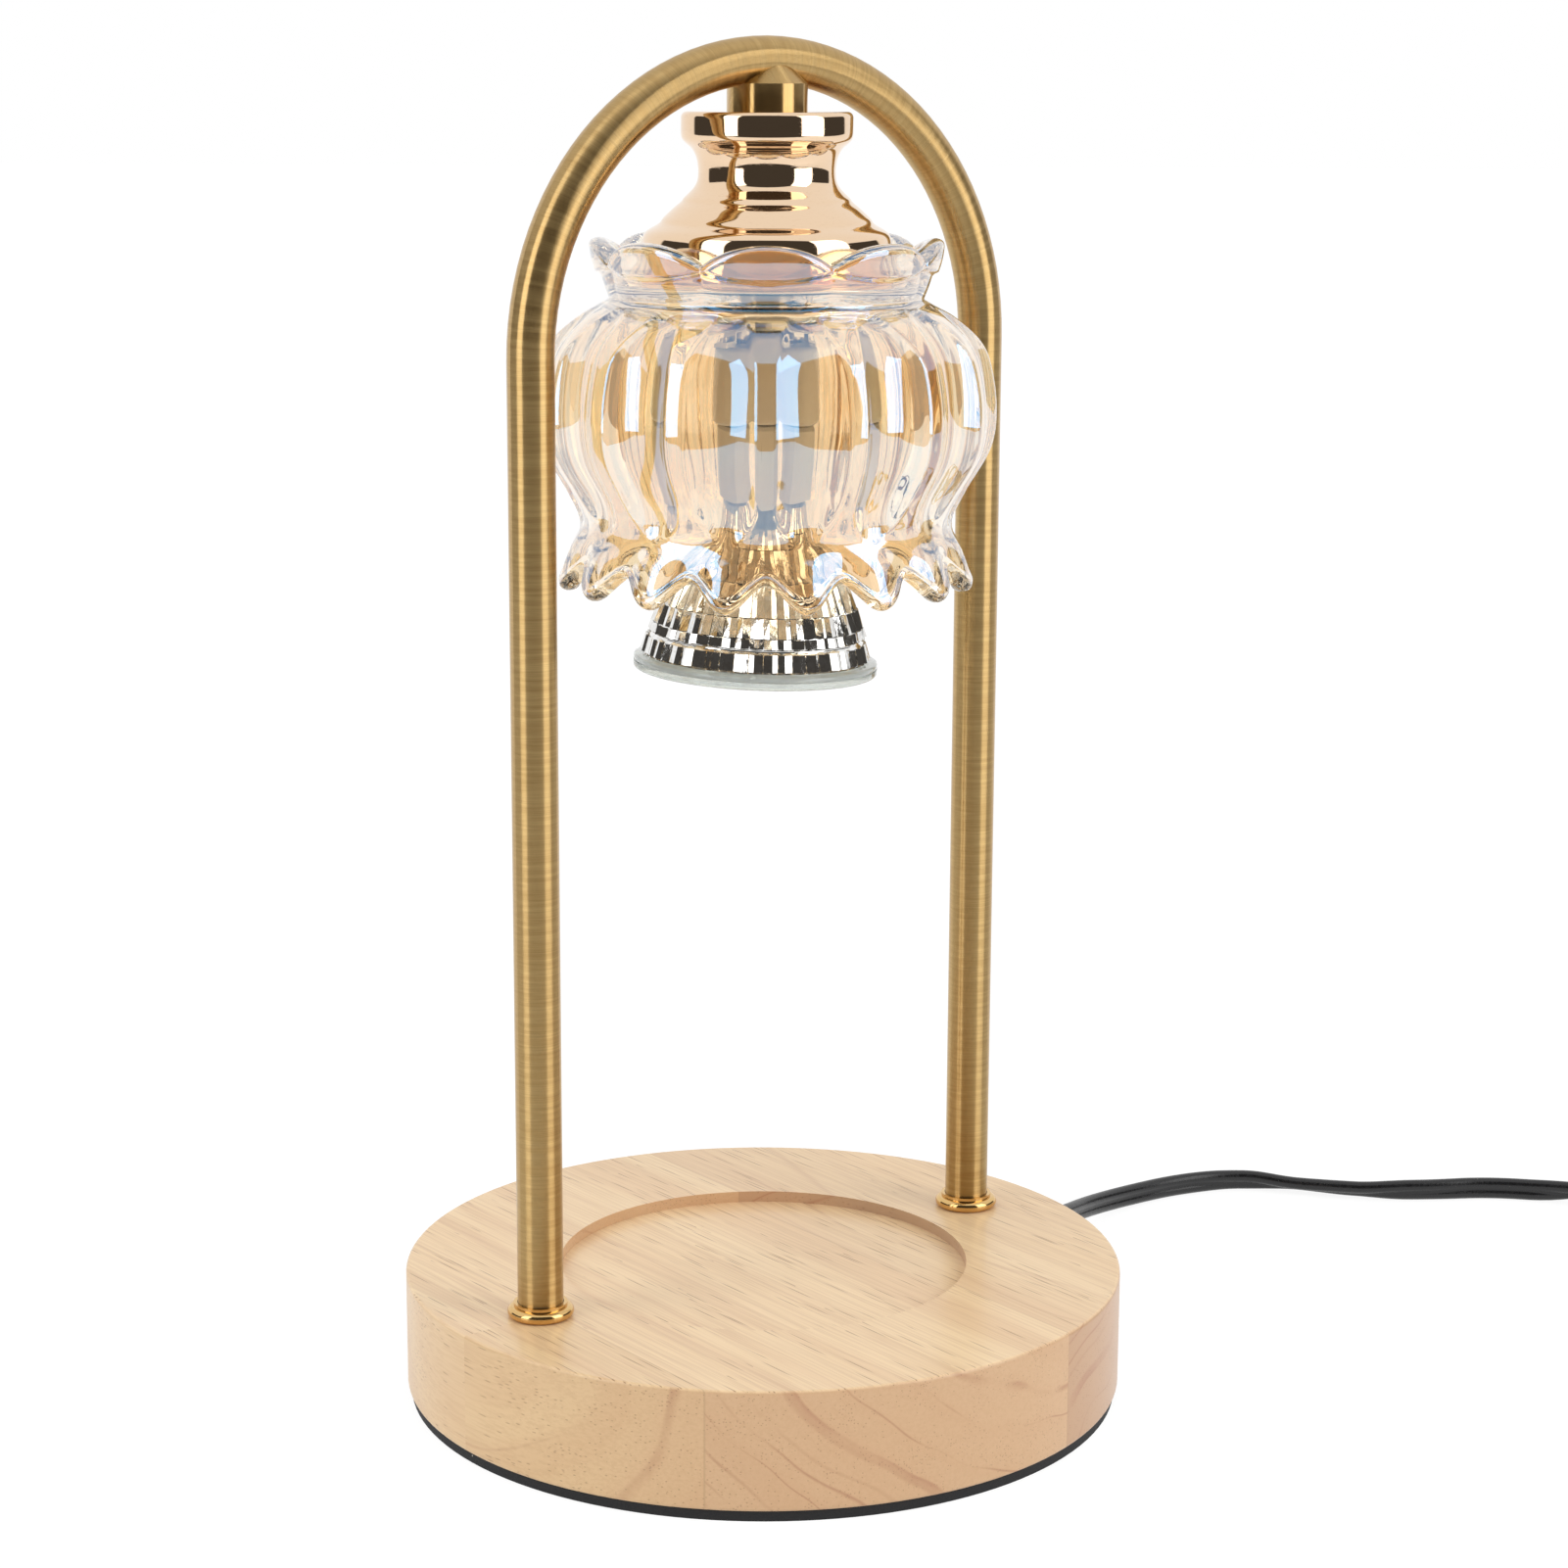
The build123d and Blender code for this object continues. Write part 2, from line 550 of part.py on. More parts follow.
with BuildPart() as glass_shade:
    loft([
        wavy_section(shade_rim_z + rise, radius, rib_half * share, SHADE_RIBS, lobe_turn, side)
        for rise, radius, share, side in shade_stations
    ])
    add(shade_cavity.part, mode=Mode.SUBTRACT)
    loft([
        wavy_section(z, radius, ripple, SHADE_PETALS, SHADE_TURN)
        for z, radius, ripple in (
            (neck_z, SHADE_NECK_DIA / 2, NECK_WAVE),
            ((neck_z + petal_z) / 2, SHADE_NECK_DIA / 2 + PETAL_BULGE, PETAL_ROUND),
            (petal_z, petal_crest, petal_ripple),
        )
    ])
    with BuildSketch(Plane.XY.offset(shelf_top_z)):
        Circle(collar_bore)
    extrude(amount=petal_z - shelf_top_z, taper=-PETAL_FLARE, mode=Mode.SUBTRACT)
    with Locations((0, 0, shelf_top_z)):
        Hole(NIPPLE_DIA / 2 + SHADE_HOLE_CLEARANCE, depth=2 * SHADE_SHELF_THICKNESS)
    with PolarLocations(0, SHADE_RIBS, start_angle=SHADE_TURN):
        add(scallop_cutter.part, mode=Mode.SUBTRACT)
    with PolarLocations(0, SHADE_PETALS, start_angle=SHADE_TURN):
        add(petal_cutter.part, mode=Mode.SUBTRACT)
pieces["glass_shade"] = glass_shade

pieces["shade_gasket"] = ring(
    GASKET_DIA, 2 * nipple_hole, GASKET_THICKNESS, [(0, 0, lower_gasket_z)]
)
pieces["shade_washer"] = ring(
    SHADE_WASHER_DIA, 2 * nipple_hole, SHADE_WASHER_THICKNESS, [(0, 0, washer_z)]
)

# ---------------------------------------------------------------- bracket and its screws
with BuildPart() as holder_bracket:
    with BuildSketch(Plane.XY.offset(web_z)):
        Rectangle(BRACKET_WEB, BRACKET_WIDTH)
    extrude(amount=BRACKET_METAL)
    for side in (-1, 1):
        with BuildSketch(Plane.XY.offset(holder_top_z)):
            with Locations((side * (BRACKET_WEB - BRACKET_LEG_WALL) / 2, 0)):
                Rectangle(BRACKET_LEG_WALL, BRACKET_WIDTH)
        extrude(amount=web_z - holder_top_z)
        with BuildSketch(Plane.XY.offset(holder_top_z)):
            with Locations((side * (BRACKET_WEB + BRACKET_FOOT) / 2, 0)):
                Rectangle(BRACKET_FOOT, BRACKET_WIDTH)
        extrude(amount=BRACKET_METAL)
    with Locations((0, 0, washer_z)):
        Hole(nipple_hole, depth=BRACKET_METAL)
    with Locations(
        (-bracket_screw_x, 0, holder_top_z + BRACKET_METAL),
        (bracket_screw_x, 0, holder_top_z + BRACKET_METAL),
    ):
        Hole(HOLDER_SCREW_DIA / 2, depth=BRACKET_METAL)
pieces["holder_bracket"] = holder_bracket

with BuildPart() as holder_screws:
    for side in (-1, 1):
        with BuildSketch(Plane(origin=(side * bracket_screw_x, 0, holder_top_z + BRACKET_METAL))):
            Circle(HOLDER_SCREW_HEAD_DIA / 2)
        extrude(amount=HOLDER_SCREW_HEAD_HEIGHT)
        with BuildSketch(Plane(origin=(side * bracket_screw_x, 0, holder_top_z + BRACKET_METAL))):
            Circle(HOLDER_SCREW_DIA / 2)
        extrude(amount=-HOLDER_SCREW_LENGTH)
pieces["holder_screws"] = holder_screws

# ---------------------------------------------------------------- lampholder and contacts
pin_circle = PIN_SPACING / 2
head_slot = PIN_HEAD_DIA + 2 * PIN_SLOT_CLEARANCE
neck_slot = PIN_NECK_DIA + 2 * PIN_SLOT_CLEARANCE
# The lamp turns clockwise, seen from above, until its pin heads reach the round holes.
pin_headings = (90.0, 270.0)
with BuildPart() as lampholder:
    with BuildSketch(Plane.XY.offset(holder_face_z)):
        Circle(HOLDER_DIA / 2)
    extrude(amount=holder_top_z - holder_face_z)
    fillet(lampholder.edges().filter_by(GeomType.CIRCLE), HOLDER_EDGE_ROUND)
    for start_z, end_z, slot_width in (
        (holder_face_z, holder_face_z + PIN_LEDGE, neck_slot),
        (holder_face_z + PIN_LEDGE, holder_face_z + SLOT_DEPTH, head_slot),
    ):
        with BuildSketch(Plane.XY.offset(start_z)):
            for heading in pin_headings:
                pin_path = CenterArc((0, 0), pin_circle, heading, -TWIST_ANGLE, mode=Mode.PRIVATE)
                SlotArc(pin_path, slot_width)
                with Locations(pin_path @ 1):
                    Circle(head_slot / 2)
        extrude(amount=end_z - start_z, mode=Mode.SUBTRACT)
    with BuildSketch(Plane.XY.offset(holder_top_z)):
        Circle(HOLDER_POCKET_DIA / 2)
    extrude(amount=-HOLDER_POCKET_DEPTH, mode=Mode.SUBTRACT)
    with BuildSketch(Plane.XY.offset(holder_top_z)):
        with Locations((-bracket_screw_x, 0), (bracket_screw_x, 0)):
            Circle(HOLDER_SCREW_DIA / 2)
    extrude(amount=BRACKET_METAL - HOLDER_SCREW_LENGTH, mode=Mode.SUBTRACT)
    with BuildSketch(Plane.XY.offset(holder_pocket_z)):
        with Locations((0, -pin_circle), (0, pin_circle)):
            Rectangle(CONTACT_WIDTH, CONTACT_THICKNESS)
    extrude(amount=-HOLDER_POCKET_DEPTH, mode=Mode.SUBTRACT)
pieces["lampholder"] = lampholder

contact_foot_z = holder_face_z + SLOT_DEPTH - CONTACT_THICKNESS
with BuildPart() as holder_contacts:
    for side in (-1, 1):
        with BuildSketch(Plane(origin=(0, side * pin_circle, contact_foot_z))):
            Rectangle(CONTACT_WIDTH, CONTACT_THICKNESS)
        extrude(amount=CONTACT_HEIGHT)
        with BuildSketch(Plane(origin=(0, side * pin_circle, contact_foot_z))):
            Circle(CONTACT_PAD_DIA / 2)
        extrude(amount=CONTACT_THICKNESS)
pieces["holder_contacts"] = holder_contacts

# ---------------------------------------------------------------- reflector lamp
lean = radians(LAMP_LEAN)
lean_heading = radians(LAMP_LEAN_HEADING)
lamp_up = Vector(-sin(lean) * cos(lean_heading), -sin(lean) * sin(lean_heading), cos(lean))
lamp_side = Vector(cos(lean) * cos(lean_heading), cos(lean) * sin(lean_heading), sin(lean))
lamp_origin = Vector(0, 0, holder_face_z - LAMP_GAP)
lamp_plane = Plane(origin=lamp_origin, x_dir=(1, 0, 0), z_dir=lamp_up)
lamp_section = Plane(origin=lamp_origin, x_dir=lamp_side, z_dir=lamp_side.cross(lamp_up))
lamp_axis = Axis(lamp_origin, lamp_up)
reflector_top = -LAMP_BASE_LENGTH

with BuildPart() as bulb_base:
    with BuildSketch(lamp_plane):
        Circle(LAMP_BASE_DIA / 2)
        Rectangle(LAMP_BASE_DIA, LAMP_BASE_FLAT, mode=Mode.INTERSECT)
    extrude(amount=-LAMP_BASE_LENGTH)
    chamfer(bulb_base.faces().sort_by(lamp_axis)[-1].edges(), LAMP_GAP)
pieces["bulb_base"] = bulb_base

with BuildPart() as bulb_pins:
    for side in (-1, 1):
        with BuildSketch(lamp_plane):
            with Locations((0, side * pin_circle)):
                Circle(PIN_NECK_DIA / 2)
        extrude(amount=PIN_LENGTH)
        with BuildSketch(lamp_plane.offset(PIN_LENGTH - PIN_HEAD_HEIGHT)):
            with Locations((0, side * pin_circle)):
                Circle(PIN_HEAD_DIA / 2)
        extrude(amount=PIN_HEAD_HEIGHT)
pieces["bulb_pins"] = bulb_pins

# The bowl: a curved reflector whose flange carries the front glass.
flange_top = -REFLECTOR_LENGTH
with BuildPart() as bulb_reflector:
    with BuildSketch(lamp_section):
        with BuildLine():
            neck_r = REFLECTOR_NECK_DIA / 2
            bowl_r = REFLECTOR_DIA / 2
            bowl = Spline(
                (neck_r, reflector_top),
                ((neck_r + bowl_r) / 2 + 1.2, (reflector_top + flange_top) / 2 + 1.5),
                (bowl_r, flange_top),
                tangents=((0.5, -1), (0.25, -1)),
            )
            Line((bowl_r, flange_top), (FLANGE_DIA / 2, flange_top))
            Line((FLANGE_DIA / 2, flange_top), (FLANGE_DIA / 2, flange_top - FLANGE_THICKNESS))
            Line(
                (FLANGE_DIA / 2, flange_top - FLANGE_THICKNESS),
                (bowl_r - REFLECTOR_WALL, flange_top - FLANGE_THICKNESS),
            )
            Line(
                (bowl_r - REFLECTOR_WALL, flange_top - FLANGE_THICKNESS),
                (bowl_r - REFLECTOR_WALL, flange_top),
            )
            Spline(
                (bowl_r - REFLECTOR_WALL, flange_top),
                ((neck_r + bowl_r) / 2 + 1.2 - REFLECTOR_WALL, (reflector_top + flange_top) / 2 + 1.5),
                (neck_r - REFLECTOR_WALL, reflector_top),
                tangents=((-0.25, 1), (-0.5, 1)),
            )
            Line((neck_r - REFLECTOR_WALL, reflector_top), (neck_r, reflector_top))
        make_face()
    revolve(axis=lamp_axis)
pieces["bulb_reflector"] = bulb_reflector

with BuildPart() as bulb_lens:
    with BuildSketch(lamp_plane.offset(flange_top - FLANGE_THICKNESS)):
        Circle(FLANGE_DIA / 2)
    extrude(amount=-LENS_THICKNESS)
    fillet(bulb_lens.faces().sort_by(lamp_axis)[0].edges(), LENS_EDGE_ROUND)
pieces["bulb_lens"] = bulb_lens

with BuildPart() as bulb_capsule:
    with BuildSketch(lamp_plane.offset(reflector_top)):
        Circle(CAPSULE_DIA / 2)
    extrude(amount=-CAPSULE_LENGTH)
    fillet(bulb_capsule.faces().sort_by(lamp_axis)[0].edges(), CAPSULE_TIP_ROUND)
pieces["bulb_capsule"] = bulb_capsule

# ---------------------------------------------------------------- wiring in the tube and base
terminal_x = CHANNEL_END + TERMINAL_MARGIN + TERMINAL_LENGTH / 2
terminal_face_x = terminal_x + TERMINAL_LENGTH / 2
wire_z = pocket_ceiling_z - TERMINAL_HEIGHT + WIRE_DIA
bend_share = WIRE_TOP_BEND / (leg_x - WIRE_TOP_BEND)
arc_end = degrees(acos(bend_share))
with BuildPart() as supply_wires:
    for side in (-1, 1):
        wire_y = side * WIRE_SPACING / 2
        wire_plane = Plane.XZ.offset(-wire_y)
        with BuildLine(wire_plane) as wire_line:
            floor_run = Line((terminal_face_x, wire_z), (leg_x - WIRE_ENTRY_BEND, wire_z))
            CenterArc((leg_x - WIRE_ENTRY_BEND, wire_z + WIRE_ENTRY_BEND), WIRE_ENTRY_BEND, -90, 90)
            Line((leg_x, wire_z + WIRE_ENTRY_BEND), (leg_x, bend_z))
            CenterArc((0, bend_z), leg_x, 0, arc_end)
            turn_x = leg_x * cos(radians(arc_end)) * (1 - WIRE_TOP_BEND / leg_x)
            turn_z = bend_z + (leg_x - WIRE_TOP_BEND) * sin(radians(arc_end))
            CenterArc((turn_x, turn_z), WIRE_TOP_BEND, arc_end, 180 - arc_end)
            Line((turn_x - WIRE_TOP_BEND, turn_z), (turn_x - WIRE_TOP_BEND, holder_pocket_z))
        with BuildSketch(Plane(origin=floor_run @ 0, z_dir=floor_run % 0)):
            Circle(WIRE_DIA / 2)
        sweep(path=wire_line.line)
pieces["supply_wires"] = supply_wires

with BuildPart() as terminal_block:
    with BuildSketch(Plane.XY.offset(pocket_ceiling_z)):
        with Locations((terminal_x, 0)):
            Rectangle(TERMINAL_LENGTH, TERMINAL_WIDTH)
    extrude(amount=-TERMINAL_HEIGHT)
    with BuildSketch(Plane.XY.offset(pocket_ceiling_z - TERMINAL_HEIGHT)):
        with Locations((terminal_x, 0)):
            with GridLocations(TERMINAL_SCREW_GRID, TERMINAL_SCREW_GRID, 2, 2):
                Circle(TERMINAL_SCREW_DIA / 2)
    extrude(amount=TERMINAL_HEIGHT / 2, mode=Mode.SUBTRACT)
pieces["terminal_block"] = terminal_block

with BuildPart() as terminal_screws:
    with BuildSketch(Plane.XY.offset(pocket_ceiling_z - TERMINAL_HEIGHT / 2)):
        with Locations((terminal_x, 0)):
            with GridLocations(TERMINAL_SCREW_GRID, TERMINAL_SCREW_GRID, 2, 2):
                Circle(TERMINAL_SCREW_DIA / 2)
    extrude(amount=-TERMINAL_HEIGHT / 3)
pieces["terminal_screws"] = terminal_screws

# ---------------------------------------------------------------- pigtail inside the base
exit_plane = Plane(origin=exit_point, z_dir=exit_direction)
pigtail_start = exit_point - exit_direction * (gland_inner_start + GLAND_INNER_LENGTH)
with BuildPart() as cord_pigtail:
    with BuildLine() as pigtail_line:
        FilletPolyline(
            pigtail_start,
            (leg_x - 6.4, 8.8, 5.4),
            (leg_x - 14, CHANNEL_WIDTH / 4, wire_z),
            (terminal_face_x, CHANNEL_WIDTH / 4, wire_z),
            radius=(8, 8),
        )
    with BuildSketch(Plane(origin=pigtail_line.line @ 0, z_dir=pigtail_line.line % 0)):
        Circle(CORD_WIDTH / 2)
    sweep(path=pigtail_line.line)
pieces["cord_pigtail"] = cord_pigtail


def cord_tube(points, label):
    """A tube of straight runs, with arcs as large as the runs beside each corner allow."""
    corners = [Vector(*point) for point in points]
    radii = []
    for before, corner, after in zip(corners, corners[1:], corners[2:]):
        run_in = corner - before
        run_out = after - corner
        turn = radians(run_in.get_angle(run_out))
        radii.append(ROUTE_SHARE * min(run_in.length, run_out.length) / tan(turn / 2))
    with BuildPart() as tube:
        with BuildLine() as route:
            FilletPolyline(*points, radius=radii)
        with BuildSketch(Plane(origin=route.line @ 0, z_dir=route.line % 0)):
            Circle(CORD_WIDTH / 2)
        sweep(path=route.line)
    length = route.wire().length
    expected = pi * CORD_WIDTH**2 / 4 * length
    print(label, "radii", [round(r, 1) for r in radii], "length", round(length, 1))
    print(label, "volume", round(tube.part.volume, 1), "section times length", round(expected, 1))
    return tube


# ---------------------------------------------------------------- cord from base to dimmer
gland_end = exit_point + exit_direction * GLAND_LENGTH
dimmer_direction = Vector(cos(radians(DIMMER_HEADING)), sin(radians(DIMMER_HEADING)), 0)
dimmer_origin = Vector(*DIMMER_START) + dimmer_direction * (RELIEF_LENGTH + DIMMER_LENGTH / 2)
dimmer_end = Vector(*DIMMER_START) + dimmer_direction * (2 * RELIEF_LENGTH + DIMMER_LENGTH)
LAMP_CORD_ROUTE = [
    (gland_end.X, gland_end.Y, gland_end.Z),
    (107.0, 23.2, 6.8),
    (121.0, 30.0, 4.4),
    (137.0, 33.6, 2.8),
    (154.0, 32.8, 2.6),
    (169.5, 27.2, 2.6),
    (179.5, 15.5, 2.6),
    (188.0, 2.5, 2.6),
    (200.5, -8.0, 2.6),
    (214.0, -15.6, 2.6),
    (225.5, -28.5, 2.6),
    (*DIMMER_START, DIMMER_CORD_HEIGHT),
]
lamp_cord = cord_tube(LAMP_CORD_ROUTE, "lamp_cord")
pieces["lamp_cord"] = lamp_cord

# The gland is moulded around both stretches, so each takes its own end out of it.
gland_r = GLAND_HOLE_DIA / 2 - GLAND_FIT
with BuildPart() as cord_gland:
    with BuildSketch(exit_plane.offset(-gland_inner_start - GLAND_INNER_LENGTH)):
        Circle(GLAND_COLLAR_DIA / 2)
    extrude(amount=GLAND_INNER_LENGTH)
    with BuildSketch(exit_plane.offset(-gland_inner_start)):
        Circle(gland_r)
    extrude(amount=gland_inner_start + GLAND_COLLAR_START)
    with BuildSketch(exit_plane.offset(GLAND_COLLAR_START)):
        Circle(GLAND_COLLAR_DIA / 2)
    extrude(amount=GLAND_COLLAR_LENGTH)
    with BuildSketch(exit_plane.offset(GLAND_COLLAR_START + GLAND_COLLAR_LENGTH)):
        Circle(gland_r)
    with BuildSketch(exit_plane.offset(GLAND_LENGTH)):
        Circle(RELIEF_END_DIA / 2)
    loft()
    add(cord_pigtail.part, mode=Mode.SUBTRACT)
    add(lamp_cord.part, mode=Mode.SUBTRACT)
pieces["cord_gland"] = cord_gland

# ---------------------------------------------------------------- in-line dimmer
dimmer_plane = Plane(
    origin=(dimmer_origin.X, dimmer_origin.Y, 0), x_dir=dimmer_direction, z_dir=(0, 0, 1)
)
joint_plane = dimmer_plane.offset(DIMMER_CORD_HEIGHT)
cord_axis_start = Plane(
    origin=(DIMMER_START[0], DIMMER_START[1], DIMMER_CORD_HEIGHT), z_dir=dimmer_direction
)
cord_axis_end = Plane(
    origin=(dimmer_end.X, dimmer_end.Y, DIMMER_CORD_HEIGHT), z_dir=-dimmer_direction
)
coil_x, coil_y = COIL_CENTRE
LOOP_CORD_ROUTE = [
    (dimmer_end.X, dimmer_end.Y, DIMMER_CORD_HEIGHT),
    (281.8, -135.7, 4.2),
    (278.8, -152.4, 2.6),
    (267.4, -165.0, 2.6),
    (251.2, -170.3, 2.6),
    (238.0, -169.2, 2.6),
    (225.0, -166.9, 2.8),
    (coil_x, coil_y - COIL_OUTER_TURN, 3.4),
]
wheel_slot_r = WHEEL_DIA / 2 + WHEEL_CLEARANCE
screw_places = [
    (-DIMMER_SCREW_SPACING / 2, -WHEEL_OFFSET),
    (DIMMER_SCREW_SPACING / 2, -WHEEL_OFFSET),
]


def strain_relief(start_plane, cord):
    """A moulded relief: tapered nose outside, neck in the wall, key inside the shells."""
    with BuildPart() as relief:
        with BuildSketch(start_plane):
            Circle(RELIEF_END_DIA / 2)
        with BuildSketch(start_plane.offset(RELIEF_LENGTH)):
            Circle(RELIEF_ROOT_DIA / 2)
        loft()
        with BuildSketch(start_plane.offset(RELIEF_LENGTH)):
            Circle(RELIEF_NECK_DIA / 2)
        extrude(amount=DIMMER_WALL)
        with BuildSketch(start_plane.offset(RELIEF_LENGTH + DIMMER_WALL)):
            Circle(RELIEF_KEY_DIA / 2)
        extrude(amount=RELIEF_KEY_LENGTH)
        add(cord.part, mode=Mode.SUBTRACT)
    return relief


loop_cord = cord_tube(LOOP_CORD_ROUTE, "loop_cord")
pieces["loop_cord"] = loop_cord
pieces["dimmer_relief_in"] = strain_relief(cord_axis_start, lamp_cord)
pieces["dimmer_relief_out"] = strain_relief(cord_axis_end, loop_cord)

with BuildPart() as dimmer_lower_shell:
    with BuildSketch(dimmer_plane):
        RectangleRounded(DIMMER_LENGTH, DIMMER_WIDTH, DIMMER_END_ROUND)
    extrude(amount=DIMMER_CORD_HEIGHT)
    fillet(dimmer_lower_shell.faces().sort_by(Axis.Z)[0].edges(), DIMMER_FOOT_ROUND)
    with BuildSketch(dimmer_plane.offset(DIMMER_WALL)):
        RectangleRounded(
            DIMMER_LENGTH - 2 * DIMMER_WALL,
            DIMMER_WIDTH - 2 * DIMMER_WALL,
            DIMMER_END_ROUND - DIMMER_WALL,
        )
    extrude(amount=DIMMER_HEIGHT, mode=Mode.SUBTRACT)
    with BuildSketch(dimmer_plane.offset(DIMMER_WALL)):
        with Locations(*screw_places):
            Circle(DIMMER_SCREW_DIA)
    extrude(amount=DIMMER_CORD_HEIGHT - DIMMER_WALL)
    with BuildSketch(dimmer_plane):
        with Locations(*screw_places):
            Circle(DIMMER_SCREW_DIA / 2)
    extrude(amount=DIMMER_CORD_HEIGHT, mode=Mode.SUBTRACT)
    with BuildSketch(dimmer_plane):
        with Locations(*screw_places):
            Circle(DIMMER_SCREW_HEAD_DIA / 2)
    extrude(amount=DIMMER_SCREW_HEAD_HEIGHT, mode=Mode.SUBTRACT)
    for start_plane in (cord_axis_start, cord_axis_end):
        with BuildSketch(start_plane.offset(RELIEF_LENGTH)):
            Circle(RELIEF_NECK_DIA / 2)
        extrude(amount=DIMMER_WALL, mode=Mode.SUBTRACT)
pieces["dimmer_lower_shell"] = dimmer_lower_shell

with BuildPart() as dimmer_upper_shell:
    with BuildSketch(joint_plane):
        RectangleRounded(DIMMER_LENGTH, DIMMER_WIDTH, DIMMER_END_ROUND)
    extrude(amount=DIMMER_HEIGHT - DIMMER_CORD_HEIGHT)
    fillet(dimmer_upper_shell.faces().sort_by(Axis.Z)[-1].edges(), DIMMER_TOP_ROUND)
    with BuildSketch(joint_plane):
        RectangleRounded(
            DIMMER_LENGTH - 2 * DIMMER_WALL,
            DIMMER_WIDTH - 2 * DIMMER_WALL,
            DIMMER_END_ROUND - DIMMER_WALL,
        )
    extrude(amount=DIMMER_HEIGHT - DIMMER_CORD_HEIGHT - DIMMER_WALL, mode=Mode.SUBTRACT)
    with BuildSketch(joint_plane):
        with Locations(*screw_places):
            Circle(DIMMER_SCREW_DIA)
    extrude(amount=DIMMER_HEIGHT - DIMMER_CORD_HEIGHT - DIMMER_WALL)
    with BuildSketch(dimmer_plane.offset(WHEEL_BOTTOM - WHEEL_CLEARANCE)):
        with Locations((0, WHEEL_OFFSET)):
            Circle(wheel_slot_r)
    extrude(amount=WHEEL_THICKNESS + 2 * WHEEL_CLEARANCE, mode=Mode.SUBTRACT)
    with BuildSketch(joint_plane):
        with Locations(*screw_places):
            Circle(DIMMER_SCREW_DIA / 2)
    extrude(amount=DIMMER_SCREW_LENGTH - DIMMER_CORD_HEIGHT + DIMMER_SCREW_HEAD_HEIGHT, mode=Mode.SUBTRACT)
    for start_plane in (cord_axis_start, cord_axis_end):
        with BuildSketch(start_plane.offset(RELIEF_LENGTH)):
            Circle(RELIEF_NECK_DIA / 2)
        extrude(amount=DIMMER_WALL, mode=Mode.SUBTRACT)
pieces["dimmer_upper_shell"] = dimmer_upper_shell

with BuildPart() as dimmer_wheel:
    with BuildSketch(dimmer_plane.offset(WHEEL_BOTTOM)):
        with Locations((0, WHEEL_OFFSET)):
            Circle(WHEEL_DIA / 2)
            Circle(SHAFT_DIA / 2, mode=Mode.SUBTRACT)
            with PolarLocations(WHEEL_DIA / 2, WHEEL_KNURLS):
                Circle(WHEEL_KNURL_DIA / 2, mode=Mode.SUBTRACT)
    extrude(amount=WHEEL_THICKNESS)
pieces["dimmer_wheel"] = dimmer_wheel

control_z = BOARD_HEIGHT + BOARD_THICKNESS
control_top_z = WHEEL_BOTTOM - WHEEL_CLEARANCE
with BuildPart() as dimmer_shaft:
    with BuildSketch(dimmer_plane.offset(control_z + WHEEL_CLEARANCE)):
        with Locations((0, WHEEL_OFFSET)):
            Circle(SHAFT_DIA / 2)
    extrude(amount=SHAFT_LENGTH)
pieces["dimmer_shaft"] = dimmer_shaft

with BuildPart() as dimmer_control:
    with BuildSketch(dimmer_plane.offset(control_z)):
        with Locations((0, WHEEL_OFFSET)):
            Rectangle(DIMMER_BODY_SIZE, DIMMER_BODY_SIZE)
    extrude(amount=control_top_z - control_z)
    with BuildSketch(dimmer_plane.offset(control_z + WHEEL_CLEARANCE / 2)):
        with Locations((0, WHEEL_OFFSET)):
            Circle(SHAFT_DIA / 2 + SHAFT_CLEARANCE)
    extrude(amount=control_top_z - control_z, mode=Mode.SUBTRACT)
pieces["dimmer_control"] = dimmer_control

with BuildPart() as dimmer_board:
    with BuildSketch(dimmer_plane.offset(BOARD_HEIGHT)):
        Rectangle(BOARD_LENGTH, BOARD_WIDTH)
        with Locations(*screw_places):
            Circle(DIMMER_SCREW_DIA + THREAD_CLEARANCE, mode=Mode.SUBTRACT)
    extrude(amount=BOARD_THICKNESS)
pieces["dimmer_board"] = dimmer_board

with BuildPart() as dimmer_screws:
    for place in screw_places:
        with BuildSketch(dimmer_plane):
            with Locations(place):
                Circle(DIMMER_SCREW_HEAD_DIA / 2)
        extrude(amount=DIMMER_SCREW_HEAD_HEIGHT)
        with BuildSketch(dimmer_plane.offset(DIMMER_SCREW_HEAD_HEIGHT)):
            with Locations(place):
                Circle(DIMMER_SCREW_DIA / 2)
        extrude(amount=DIMMER_SCREW_LENGTH)
pieces["dimmer_screws"] = dimmer_screws

# ---------------------------------------------------------------- coil of cord and its tie
coil_exit_z = COIL_LIFT + COIL_LAYER_PITCH * (COIL_LAYERS - 0.5)

coil_outer = COIL_OUTER_TURN + CORD_WIDTH / 2
coil_inner = coil_outer - COIL_COLUMNS * CORD_WIDTH
coil_height = COIL_LAYERS * COIL_LAYER_PITCH
with BuildPart() as cord_coil:
    with BuildSketch(Plane(origin=(coil_x, coil_y, COIL_LIFT))):
        Circle(coil_outer)
        Circle(coil_inner, mode=Mode.SUBTRACT)
    extrude(amount=coil_height)
    fillet(cord_coil.edges().filter_by(GeomType.CIRCLE), COIL_EDGE_ROUND)
pieces["cord_coil"] = cord_coil

